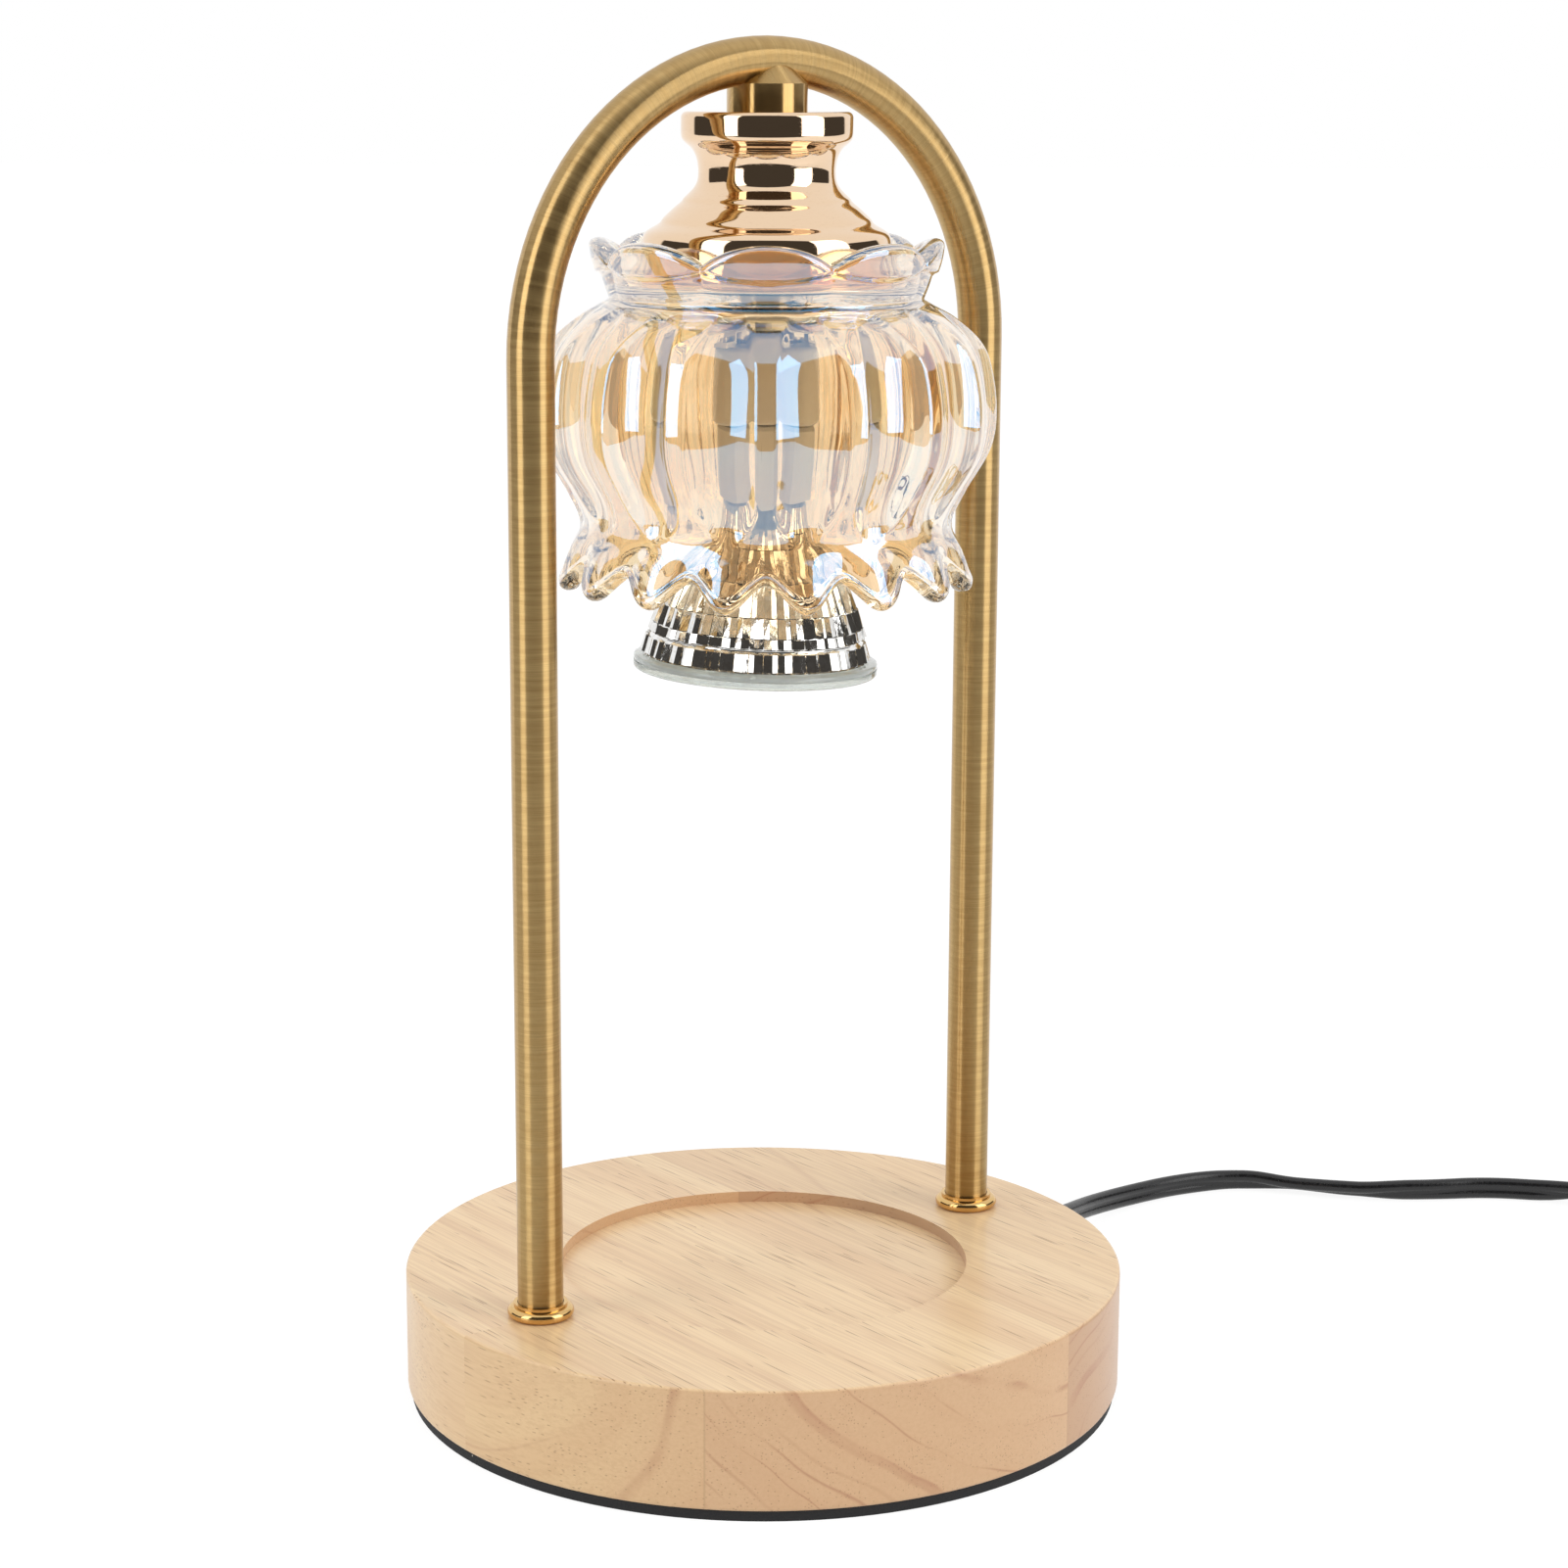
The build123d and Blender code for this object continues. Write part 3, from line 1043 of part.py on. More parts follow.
tie_place = Vector(
    coil_x + (coil_outer + coil_inner) / 2 * cos(radians(TIE_HEADING)),
    coil_y + (coil_outer + coil_inner) / 2 * sin(radians(TIE_HEADING)),
    COIL_LIFT + coil_height / 2,
)
tie_plane = Plane(
    origin=tie_place,
    x_dir=(cos(radians(TIE_HEADING)), sin(radians(TIE_HEADING)), 0),
    z_dir=(-sin(radians(TIE_HEADING)), cos(radians(TIE_HEADING)), 0),
)
tie_bow = coil_inner - (coil_inner**2 - TIE_WIDTH**2 / 4) ** 0.5
with BuildPart() as cord_tie:
    with BuildSketch(tie_plane):
        Rectangle(
            COIL_COLUMNS * CORD_WIDTH + 2 * (TIE_THICKNESS + tie_bow), coil_height + 2 * TIE_THICKNESS
        )
        Rectangle(COIL_COLUMNS * CORD_WIDTH + 2 * tie_bow, coil_height, mode=Mode.SUBTRACT)
    extrude(amount=TIE_WIDTH / 2, both=True)
pieces["cord_tie"] = cord_tie

# ---------------------------------------------------------------- cord to the plug, and plug
plug_centre_z = PLUG_HEIGHT / 2
TAIL_CORD_ROUTE = [
    (coil_x, coil_y - COIL_OUTER_TURN, coil_exit_z),
    (197.0, -165.2, 7.8),
    (183.0, -162.8, plug_centre_z),
]
tail_cord = cord_tube(TAIL_CORD_ROUTE, "tail_cord")
pieces["tail_cord"] = tail_cord

plug_direction = Vector(cos(radians(PLUG_HEADING)), sin(radians(PLUG_HEADING)), 0)
plug_start = Plane(origin=TAIL_CORD_ROUTE[-1], x_dir=(0, 0, 1), z_dir=plug_direction)
with BuildPart() as plug_body:
    with BuildSketch(plug_start.offset(PLUG_RELIEF_LENGTH)):
        RectangleRounded(PLUG_HEIGHT, PLUG_WIDTH, PLUG_NOSE_ROUND)
    extrude(amount=PLUG_LENGTH)
    plug_axis = Axis(plug_start.origin, plug_direction)
    fillet(plug_body.edges().group_by(plug_axis)[0], PLUG_BACK_ROUND)
    with BuildSketch(plug_start):
        Circle(RELIEF_END_DIA / 2)
    with BuildSketch(plug_start.offset(PLUG_RELIEF_LENGTH)):
        Circle(RELIEF_ROOT_DIA / 2)
    loft()
    add(tail_cord.part, mode=Mode.SUBTRACT)
pieces["plug_body"] = plug_body

blade_root = plug_start.offset(PLUG_RELIEF_LENGTH + PLUG_LENGTH)
with BuildPart() as plug_blades:
    with BuildSketch(blade_root):
        with Locations((0, -BLADE_SPACING / 2), (0, BLADE_SPACING / 2)):
            Rectangle(BLADE_WIDTH, BLADE_THICKNESS)
    extrude(amount=BLADE_LENGTH)
    chamfer(plug_blades.faces().group_by(plug_axis)[-1].edges(), BLADE_CHAMFER)
    hole_centre = plug_start.origin + plug_direction * (
        PLUG_RELIEF_LENGTH + PLUG_LENGTH + BLADE_LENGTH - BLADE_HOLE_SETBACK
    )
    with BuildSketch(Plane(origin=hole_centre, z_dir=plug_start.y_dir)):
        Circle(BLADE_HOLE_DIA / 2)
    extrude(amount=PLUG_WIDTH / 2, both=True, mode=Mode.SUBTRACT)
pieces["plug_blades"] = plug_blades

os.makedirs("parts", exist_ok=True)
for name, piece in pieces.items():
    piece.part.label = name
    export_step(piece.part, f"parts/{name}.step")
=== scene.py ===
import json
import math

import bmesh
import bpy
from mathutils import Matrix, Vector

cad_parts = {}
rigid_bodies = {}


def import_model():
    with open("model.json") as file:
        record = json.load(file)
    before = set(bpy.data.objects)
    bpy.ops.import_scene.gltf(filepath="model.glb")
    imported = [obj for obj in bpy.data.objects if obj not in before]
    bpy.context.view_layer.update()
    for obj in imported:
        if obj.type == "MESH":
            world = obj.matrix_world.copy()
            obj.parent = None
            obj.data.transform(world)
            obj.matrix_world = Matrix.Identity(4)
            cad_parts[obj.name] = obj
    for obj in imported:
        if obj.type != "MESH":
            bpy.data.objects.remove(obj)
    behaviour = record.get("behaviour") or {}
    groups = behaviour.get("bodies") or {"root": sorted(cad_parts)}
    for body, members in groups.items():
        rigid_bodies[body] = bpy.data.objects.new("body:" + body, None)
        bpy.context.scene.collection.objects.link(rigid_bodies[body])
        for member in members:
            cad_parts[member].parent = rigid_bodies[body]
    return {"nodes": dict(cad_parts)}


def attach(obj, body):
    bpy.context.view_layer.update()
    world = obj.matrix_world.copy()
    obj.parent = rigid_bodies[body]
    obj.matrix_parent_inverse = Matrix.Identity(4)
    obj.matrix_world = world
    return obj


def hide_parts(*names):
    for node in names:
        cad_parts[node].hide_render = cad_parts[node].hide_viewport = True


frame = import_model()
nodes = frame["nodes"]
for spare in [o for o in bpy.data.objects if o.name in ("Cube", "Light", "Camera")]:
    bpy.data.objects.remove(spare)
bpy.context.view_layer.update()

# ---------------------------------------------------------------- wooden base
# A disc of rubberwood, 150 mm across, glued up from boards whose grain runs from front to
# back. It is turned with a shallow recess for the candle, sanded and given a satin varnish.


def start_finish(name, **settings):
    """A new material and its shader, with plain values set on the shader's own sockets."""
    finish = bpy.data.materials.new(name)
    finish.use_nodes = True
    shader = finish.node_tree.nodes["Principled BSDF"]
    for socket, value in settings.items():
        shader.inputs[socket.replace("_", " ")].default_value = value
    return finish, finish.node_tree, shader


def add_node(tree, kind, inputs=(), **settings):
    """A shader node. Each input is a plain value or the output of another node."""
    node = tree.nodes.new("ShaderNode" + kind)
    for name, value in settings.items():
        setattr(node, name, value)
    for socket, value in dict(inputs).items():
        if isinstance(value, bpy.types.NodeSocket):
            tree.links.new(value, node.inputs[socket])
        else:
            node.inputs[socket].default_value = value
    return node


def reckon(tree, operation, *values):
    """One step of arithmetic on values in a shader."""
    return add_node(tree, "Math", enumerate(values), operation=operation).outputs[0]


def times(tree, one, other):
    return reckon(tree, "MULTIPLY", one, other)


def off(tree, one, other):
    """How far apart two values are."""
    return reckon(tree, "ABSOLUTE", reckon(tree, "SUBTRACT", one, other))


def fade(tree, value, start, end, low=0.0, high=1.0):
    """A soft step from low to high as the value goes from start to end."""
    step = add_node(
        tree, "MapRange",
        {"Value": value, "From Min": start, "From Max": end, "To Min": low, "To Max": high},
        interpolation_type="SMOOTHSTEP",
    )
    return step.outputs["Result"]


def tint(tree, share, under, over):
    """One colour laid over another by a share."""
    return add_node(tree, "Mix", {0: share, 6: under, 7: over}, data_type="RGBA").outputs[2]


def stretched(tree, place, stretch):
    """A place squeezed or stretched along each axis, for a texture."""
    return add_node(tree, "VectorMath", {0: place, 1: stretch}, operation="MULTIPLY").outputs[0]


def millimetres(tree, stretch=(1000, 1000, 1000)):
    """The place on the piece, in millimetres unless another stretch is given."""
    return stretched(tree, add_node(tree, "TexCoord").outputs["Object"], stretch)


def noise(tree, place, scale, detail=2.0, roughness=0.5):
    """Soft noise from 0 to 1 at a place in millimetres."""
    made = add_node(
        tree, "TexNoise",
        {"Vector": place, "Scale": scale, "Detail": detail, "Roughness": roughness},
    )
    return made.outputs[0]


def raise_surface(tree, shader, height, depth, strength):
    """Small relief: the height, from 0 to 1, stands out by a depth in metres."""
    bump = add_node(tree, "Bump", {"Height": height, "Distance": depth, "Strength": strength})
    tree.links.new(bump.outputs[0], shader.inputs["Normal"])


def give_finish(finish, *names):
    """Lays a finish on CAD pieces."""
    for name in names:
        nodes[name].material_slots[0].material = finish


varnished_wood, grain, varnish = start_finish(
    "varnished_wood", Roughness=0.42, IOR=1.48, Coat_Weight=0.32, Coat_Roughness=0.2
)
LEFT_SEAM, RIGHT_SEAM = -54.0, 21.5  # where the boards meet, from the middle, in mm
BUTT_JOINT = -0.5  # across the leftmost board
where = millimetres(grain)
across, along, up = add_node(grain, "SeparateXYZ", {0: where}).outputs
past_left_seam = reckon(grain, "GREATER_THAN", across, LEFT_SEAM)
past_right_seam = reckon(grain, "GREATER_THAN", across, RIGHT_SEAM)
past_butt_joint = reckon(grain, "GREATER_THAN", along, BUTT_JOINT)
past_butt_joint = times(grain, reckon(grain, "LESS_THAN", across, LEFT_SEAM), past_butt_joint)
board = reckon(grain, "ADD", past_left_seam, past_right_seam)
board = reckon(grain, "ADD", board, times(grain, past_butt_joint, 3.0))
# Each board is cut from another place in a trunk, so its grain is shifted by its number.
board_shift = add_node(grain, "CombineXYZ", {0: times(grain, board, 37.0), 2: times(grain, board, 61.0)})
cut = add_node(grain, "VectorMath", {0: where, 1: board_shift.outputs[0]}, operation="ADD").outputs[0]


def squeeze(stretch):
    """Place in the board, squeezed along its grain."""
    return stretched(grain, cut, stretch)


def by_board(left, middle, right):
    """A value for each of the three boards."""
    inner = add_node(grain, "Mix", {0: past_right_seam, 2: middle, 3: right}).outputs[0]
    return add_node(grain, "Mix", {0: past_left_seam, 2: left, 3: inner}).outputs[0]


# The growth rings of each board run round the pith of its trunk, outside the board.
pith_across, pith_up = by_board(-120.0, 27.0, 66.0), by_board(30.0, 78.0, -64.0)
from_pith = reckon(
    grain, "SQRT",
    reckon(
        grain, "ADD",
        reckon(grain, "POWER", off(grain, across, pith_across), 2.0),
        reckon(grain, "POWER", off(grain, up, pith_up), 2.0),
    ),
)
wander = times(grain, noise(grain, squeeze((0.05, 0.012, 0.05)), 1.0, 1.0), 9.0)
ring_at = reckon(grain, "ADD", from_pith, wander)
growth = add_node(grain, "TexNoise", {"W": ring_at, "Scale": 0.13, "Detail": 1.0}, noise_dimensions="1D")
growth = growth.outputs[0]
ring_turn = reckon(grain, "ADD", times(grain, ring_at, 0.125), times(grain, growth, 2.2))
growth_line = fade(grain, off(grain, reckon(grain, "FRACT", ring_turn), 0.5), 0.10, 0.0)
line_share = fade(grain, noise(grain, squeeze((0.05, 0.02, 0.05)), 1.0), 0.38, 0.6)
growth_line = times(grain, growth_line, line_share)
fibres = noise(grain, squeeze((1.7, 0.022, 1.7)), 1.0, 3.0, 0.7)
cloud = noise(grain, squeeze((0.045, 0.014, 0.045)), 1.0, 2.0)
pore_cells = add_node(grain, "TexVoronoi", {"Vector": squeeze((1.9, 0.055, 1.9)), "Scale": 1.0})
pore_chosen = add_node(grain, "SeparateColor", {0: pore_cells.outputs["Color"]}).outputs[0]
pore_dense = noise(grain, squeeze((0.12, 0.03, 0.12)), 1.0, 1.0)
pore_chosen = reckon(grain, "LESS_THAN", pore_chosen, fade(grain, pore_dense, 0.35, 0.7, 0.08, 0.8))
pores = times(grain, fade(grain, pore_cells.outputs["Distance"], 0.31, 0.16), pore_chosen)
facing = add_node(grain, "SeparateXYZ", {0: add_node(grain, "TexCoord").outputs["Normal"]}).outputs
end_grain = fade(grain, reckon(grain, "ABSOLUTE", facing[1]), 0.25, 0.85)
# The upright rim of the disc: its wood is painted darker there as painted shade, and its pores show less.
rim_shade = fade(grain, reckon(grain, "ABSOLUTE", facing[2]), 0.75, 0.35)
rim_shade_past_left = times(grain, rim_shade, past_left_seam)
rim_shade_past_right = times(grain, rim_shade, past_right_seam)
wood = tint(grain, cloud, (0.965, 0.745, 0.465, 1), (0.855, 0.59, 0.325, 1))
for share, over in (
    (fade(grain, board, 0.9, 0.1, 0.0, 0.5), (0.84, 0.60, 0.33, 1)),
    (times(grain, past_right_seam, 0.14), (0.62, 0.40, 0.21, 1)),
    (fade(grain, growth, 0.42, 0.66, 0.0, 0.3), (0.70, 0.42, 0.23, 1)),
    (fade(grain, fibres, 0.4, 0.64, 0.0, 0.34), (0.58, 0.34, 0.17, 1)),
    # Painted shade: the upright rim is darker than the top, deeper past each seam and most on the right board.
    (times(grain, rim_shade, 0.44), (0.66, 0.44, 0.22, 1)),
    (times(grain, rim_shade_past_left, 0.16), (0.52, 0.30, 0.18, 1)),
    (times(grain, rim_shade_past_right, 0.62), (0.40, 0.24, 0.155, 1)),
    (times(grain, end_grain, 0.5), (0.62, 0.36, 0.20, 1)),
    (times(grain, growth_line, fade(grain, end_grain, 0.0, 1.0, 0.18, 0.5)), (0.42, 0.17, 0.09, 1)),
    (times(grain, pores, fade(grain, rim_shade, 0.0, 1.0, 0.75, 0.5)), (0.34, 0.17, 0.08, 1)),
    (fade(grain, off(grain, across, LEFT_SEAM), 0.22, 0.05, 0.0, 0.35), (0.45, 0.27, 0.14, 1)),
    (fade(grain, off(grain, across, RIGHT_SEAM), 0.22, 0.05, 0.0, 0.35), (0.45, 0.27, 0.14, 1)),
):
    wood = tint(grain, share, wood, over)
grain.links.new(wood, varnish.inputs["Base Color"])
raise_surface(grain, varnish, reckon(grain, "SUBTRACT", 1.0, pores), 0.00006, 0.6)
give_finish(varnished_wood, "wood_base")

# ---------------------------------------------------------------- pad under the base
# A round of black foam rubber, 2.2 mm thick and glued under the wood, a little inside its
# edge, with some dust caught in its cut rim.


def start_group(name, inputs, outputs):
    """A shader group: its inputs have plain values, and its outputs are colours or values."""
    group = bpy.data.node_groups.new(name, "ShaderNodeTree")
    for socket, value in inputs.items():
        kind = "NodeSocketVector" if value is None else "NodeSocketFloat"
        made = group.interface.new_socket(socket, in_out="INPUT", socket_type=kind)
        if value is not None:
            made.default_value = value
    for socket in outputs:
        group.interface.new_socket(socket, in_out="OUTPUT", socket_type="NodeSocketFloat")
    return group, group.nodes.new("NodeGroupInput"), group.nodes.new("NodeGroupOutput")


def place_group(tree, group, **values):
    """Sets a group in a material, with that material's own values."""
    placed = add_node(tree, "Group", node_tree=group)
    for socket, value in values.items():
        socket = socket.replace("_", " ")
        if isinstance(value, bpy.types.NodeSocket):
            tree.links.new(value, placed.inputs[socket])
        else:
            placed.inputs[socket].default_value = value
    return placed.outputs


dust_and_grain, taken, given = start_group(
    "dust_and_grain", {"Place": None, "Grain per mm": 3.0, "Dust share": 0.1}, ("Grain", "Dust")
)
given_grain = noise(dust_and_grain, taken.outputs["Place"], 1.0, 3.0, 0.6)
given_grain.node.inputs["Scale"].default_value = 1.0
dust_and_grain.links.new(taken.outputs["Grain per mm"], given_grain.node.inputs["Scale"])
dust_and_grain.links.new(given_grain, given.inputs["Grain"])
flecks = add_node(dust_and_grain, "TexVoronoi", {"Vector": taken.outputs["Place"], "Scale": 0.55})
fleck_chosen = add_node(dust_and_grain, "SeparateColor", {0: flecks.outputs["Color"]}).outputs[1]
fleck_chosen = reckon(dust_and_grain, "LESS_THAN", fleck_chosen, taken.outputs["Dust share"])
fleck_size = fade(dust_and_grain, flecks.outputs["Distance"], 0.13, 0.06)
dust_and_grain.links.new(times(dust_and_grain, fleck_size, fleck_chosen), given.inputs["Dust"])


def moulded_finish(name, colour, dust_colour, grain_per_mm, dust_share, relief, **settings):
    """Black moulded rubber or plastic: a fine grain, uneven sheen and a little dust."""
    finish, tree, shader = start_finish(name, **settings)
    surface = place_group(
        tree, dust_and_grain, Place=millimetres(tree), Grain_per_mm=grain_per_mm, Dust_share=dust_share
    )
    darker, lighter = ([share * c for c in colour[:3]] + [1] for share in (0.75, 1.3))
    shade = tint(tree, surface["Grain"], darker, lighter)
    tree.links.new(tint(tree, surface["Dust"], shade, dust_colour), shader.inputs["Base Color"])
    rough = shader.inputs["Roughness"].default_value
    uneven = fade(tree, surface["Grain"], 0.3, 0.7, rough - 0.06, rough + 0.06)
    tree.links.new(uneven, shader.inputs["Roughness"])
    raise_surface(tree, shader, surface["Grain"], relief, 0.7)
    return finish


foam_rubber = moulded_finish(
    "foam_rubber", (0.012, 0.012, 0.013, 1), (0.5, 0.48, 0.44, 1), 4.0, 0.10, 0.00012, Roughness=0.75
)
give_finish(foam_rubber, "base_pad")

# ---------------------------------------------------------------- brass arch and its coupler
# Brass-plated steel tube, 9.2 mm, bent to a half circle and brushed round its girth, and the
# turned coupler soldered under its top, which takes the threaded nipple.
BEND_HEIGHT = 217.5  # where the legs turn into the half circle, in mm
BEND_RADIUS = 56.4

brushing, taken, given = start_group(
    "brushing", {"Along": 0.0, "Place": None, "Lines per mm": 6.0}, ("Line", "Streak")
)
line_place = times(brushing, taken.outputs["Along"], taken.outputs["Lines per mm"])
line_place = add_node(brushing, "CombineXYZ", {0: line_place}).outputs[0]
stroke = stretched(brushing, taken.outputs["Place"], (0.0, 0.16, 0.0))
line_place = add_node(brushing, "VectorMath", {0: line_place, 1: stroke}, operation="ADD").outputs[0]
brushing.links.new(noise(brushing, line_place, 1.0, 3.0, 0.7), given.inputs["Line"])
broad = stretched(brushing, line_place, (0.12, 1.0, 1.0))
brushing.links.new(noise(brushing, broad, 1.0, 1.0), given.inputs["Streak"])


def brushed_brass_finish(name, lines_per_mm, depth, rough, bent):
    """Brushed brass: fine lines across the tube, which smear its highlights along it."""
    finish, tree, shader = start_finish(name, Metallic=1.0, Roughness=rough, Anisotropic=1.0)
    place = millimetres(tree)
    x, _, z = add_node(tree, "SeparateXYZ", {0: place}).outputs
    over = reckon(tree, "MAXIMUM", reckon(tree, "SUBTRACT", z, BEND_HEIGHT), 0.0)
    turned = reckon(tree, "ARCTAN2", over, reckon(tree, "ABSOLUTE", x))
    run = reckon(tree, "ADD", reckon(tree, "MINIMUM", z, BEND_HEIGHT), times(tree, turned, BEND_RADIUS))
    # The two legs have lines of their own, so the right leg's run starts further on.
    run = reckon(tree, "ADD", run, times(tree, reckon(tree, "SIGN", x), 170.0))
    lines = place_group(tree, brushing, Along=run, Place=place, Lines_per_mm=lines_per_mm)
    brass = tint(tree, fade(tree, lines["Streak"], 0.3, 0.7), (0.50, 0.33, 0.135, 1), (0.59, 0.405, 0.175, 1))
    brass = tint(tree, fade(tree, lines["Line"], 0.42, 0.68, 0.0, 0.45), brass, (0.34, 0.21, 0.075, 1))
    tree.links.new(brass, shader.inputs["Base Color"])
    uneven = fade(tree, lines["Streak"], 0.25, 0.75, rough - 0.03, rough + 0.04)
    tree.links.new(uneven, shader.inputs["Roughness"])
    raise_surface(tree, shader, lines["Line"], depth, 0.5)
    axis = {2: 1.0}
    if bent:
        axis = {0: times(tree, over, -1.0), 2: x}
    axis = add_node(tree, "CombineXYZ", axis).outputs[0]
    axis = add_node(tree, "VectorMath", {0: axis}, operation="NORMALIZE").outputs[0]
    tree.links.new(axis, shader.inputs["Tangent"])
    return finish


give_finish(brushed_brass_finish("brushed_brass", 9.0, 0.000015, 0.31, True), "arch_tube")
give_finish(brushed_brass_finish("turned_brass", 5.0, 0.000008, 0.25, False), "top_coupler")

# ---------------------------------------------------------------- foot collars
# Two turned and polished brass collars, slid down the legs onto the wood to hide the holes.
handling, taken, given = start_group("handling", {"Place": None, "Smear": 0.08}, ("Haze", "Scuff"))
smears = noise(handling, taken.outputs["Place"], 0.09, 3.0, 0.6)
haze = times(handling, fade(handling, smears, 0.4, 0.8), taken.outputs["Smear"])
handling.links.new(haze, given.inputs["Haze"])
fine = stretched(handling, taken.outputs["Place"], (0.7, 0.5, 3.2))
handling.links.new(fade(handling, noise(handling, fine, 1.0, 4.0, 0.75), 0.56, 0.72), given.inputs["Scuff"])


def polished_finish(name, colour, deep_colour, rough, smear):
    """Polished or plated metal: a little haze, fine scuffs, deeper colour where it is worn."""
    finish, tree, shader = start_finish(name, Metallic=1.0, Roughness=rough)
    marks = place_group(tree, handling, Place=millimetres(tree), Smear=smear)
    metal = tint(tree, times(tree, marks["Scuff"], 0.35), colour, deep_colour)
    tree.links.new(metal, shader.inputs["Base Color"])
    tree.links.new(reckon(tree, "ADD", marks["Haze"], rough), shader.inputs["Roughness"])
    raise_surface(tree, shader, marks["Scuff"], 0.000004, 0.35)
    return finish


polished_brass = polished_finish("polished_brass", (0.72, 0.47, 0.19, 1), (0.48, 0.28, 0.10, 1), 0.10, 0.08)
give_finish(polished_brass, "left_foot_collar", "right_foot_collar")

# ---------------------------------------------------------------- steel fastenings
# Zinc-plated steel: the nipples, nuts and washers under the legs, the threaded nipple and
# nuts that carry the shade, the bracket with its screws, and the dimmer's screws.
zinc_steel = polished_finish("zinc_steel", (0.60, 0.59, 0.57, 1), (0.33, 0.32, 0.30, 1), 0.28, 0.12)
give_finish(
    zinc_steel, "leg_nipples", "leg_nuts", "leg_washers", "hanger_nipple", "hanger_nuts",
    "shade_washer", "holder_bracket", "holder_screws", "dimmer_screws",
)

# ---------------------------------------------------------------- bell cap
# A spun bell, 1 mm thick and plated in polished rose gold, with two faint steps from the
# spinning. Its rim rests on the shelf of the shade, and a nut inside holds its top.
CAP_TOP = 263.9  # in mm
CAP_HOLE = 5.3  # radius
CAP_WALL = 1.0
CAP_HEIGHT = 33.4
TOP_ROUND = 1.2  # rounding round the top ring, whose radius is 17
CAP_OUTLINE = (  # depth below the top, radius
    (1.2, 17.0), (3.2, 17.03), (4.7, 16.98), (5.5, 16.7), (6.2, 16.05), (7.0, 15.1), (8.0, 14.4), (9.2, 13.92),
    (10.4, 13.7), (11.6, 13.62), (12.8, 13.68), (13.8, 13.92), (14.8, 14.5), (15.8, 15.42), (16.6, 16.27),
    (16.95, 16.6), (17.35, 16.82), (17.8, 17.3), (18.6, 18.3), (19.6, 19.4), (20.6, 20.45), (21.0, 20.77),
    (21.4, 21.0), (21.8, 21.4), (22.4, 22.4), (23.0, 23.45), (23.6, 24.15), (24.4, 24.6), (25.6, 24.85),
    (28.0, 24.98), (33.4, 25.0),
)


def read_table(table, place, column):
    """A value of a table at a place, on a smooth line through its rows."""
    for n in range(len(table) - 1):
        if place <= table[n + 1][0] or n == len(table) - 2:
            break
    (h0, *a), (h1, *b) = table[n], table[n + 1]
    before = table[max(n - 1, 0)]
    after = table[min(n + 2, len(table) - 1)]
    slope_a = (b[column] - before[column + 1]) / (h1 - before[0])
    slope_b = (after[column + 1] - a[column]) / (after[0] - h0)
    t = (place - h0) / (h1 - h0)
    span = h1 - h0
    return (
        (2 * t**3 - 3 * t**2 + 1) * a[column] + (t**3 - 2 * t**2 + t) * span * slope_a
        + (3 * t**2 - 2 * t**3) * b[column] + (t**3 - t**2) * span * slope_b
    )


def smooth_piece(name, points, faces, finish):
    """A smooth mesh in the scene, with its faces turned outward."""
    mesh = bpy.data.meshes.new(name)
    mesh.from_pydata(points, [], faces)
    mesh.materials.append(finish)
    mesh.polygons.foreach_set("use_smooth", [True] * len(mesh.polygons))
    turning = bmesh.new()
    turning.from_mesh(mesh)
    bmesh.ops.recalc_face_normals(turning, faces=turning.faces)
    turning.to_mesh(mesh)
    turning.free()
    piece = bpy.data.objects.new(name, mesh)
    bpy.context.scene.collection.objects.link(piece)
    return piece


def ring_of_profiles(name, profile, steps, finish):
    """A closed mesh of outlines set round the axis, each joined to the next."""
    points, faces = [], []
    for step in range(steps):
        angle = 2 * math.pi * step / steps
        outline = profile(angle)
        points += [(r * math.cos(angle) / 1000, r * math.sin(angle) / 1000, z / 1000) for r, z in outline]
    count = len(outline)
    for step in range(steps):
        here, beside = step * count, (step + 1) % steps * count
        for n in range(count):
            m = (n + 1) % count
            faces.append((here + n, beside + n, beside + m, here + m))
    return smooth_piece(name, points, faces, finish)


def cap_profile(angle):
    """The cap's wall: the hole in its top, the outside down to the rim, and the inside."""
    outline = [(CAP_HOLE, CAP_TOP), (8.0, CAP_TOP), (12.0, CAP_TOP), (15.2, CAP_TOP)]
    for n in range(7):
        a = math.pi / 2 * n / 6
        outline.append((15.8 + TOP_ROUND * math.sin(a), CAP_TOP - TOP_ROUND + TOP_ROUND * math.cos(a)))
    outside = []
    for n in range(1, 111):
        depth = TOP_ROUND + (CAP_HEIGHT - TOP_ROUND) * n / 110
        outside.append((read_table(CAP_OUTLINE, depth, 0), CAP_TOP - depth))
    inside = [(r - CAP_WALL, z) for r, z in reversed(outside) if z < CAP_TOP - 1.4]
    return outline + outside + inside + [(15.6, CAP_TOP - CAP_WALL), (CAP_HOLE, CAP_TOP - CAP_WALL)]


rose_gold = polished_finish("rose_gold", (0.85, 0.635, 0.44, 1), (0.72, 0.47, 0.30, 1), 0.035, 0.03)
cap_bell = ring_of_profiles("cap_bell", cap_profile, 160, rose_gold)
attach(cap_bell, "root")
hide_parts("bell_cap")

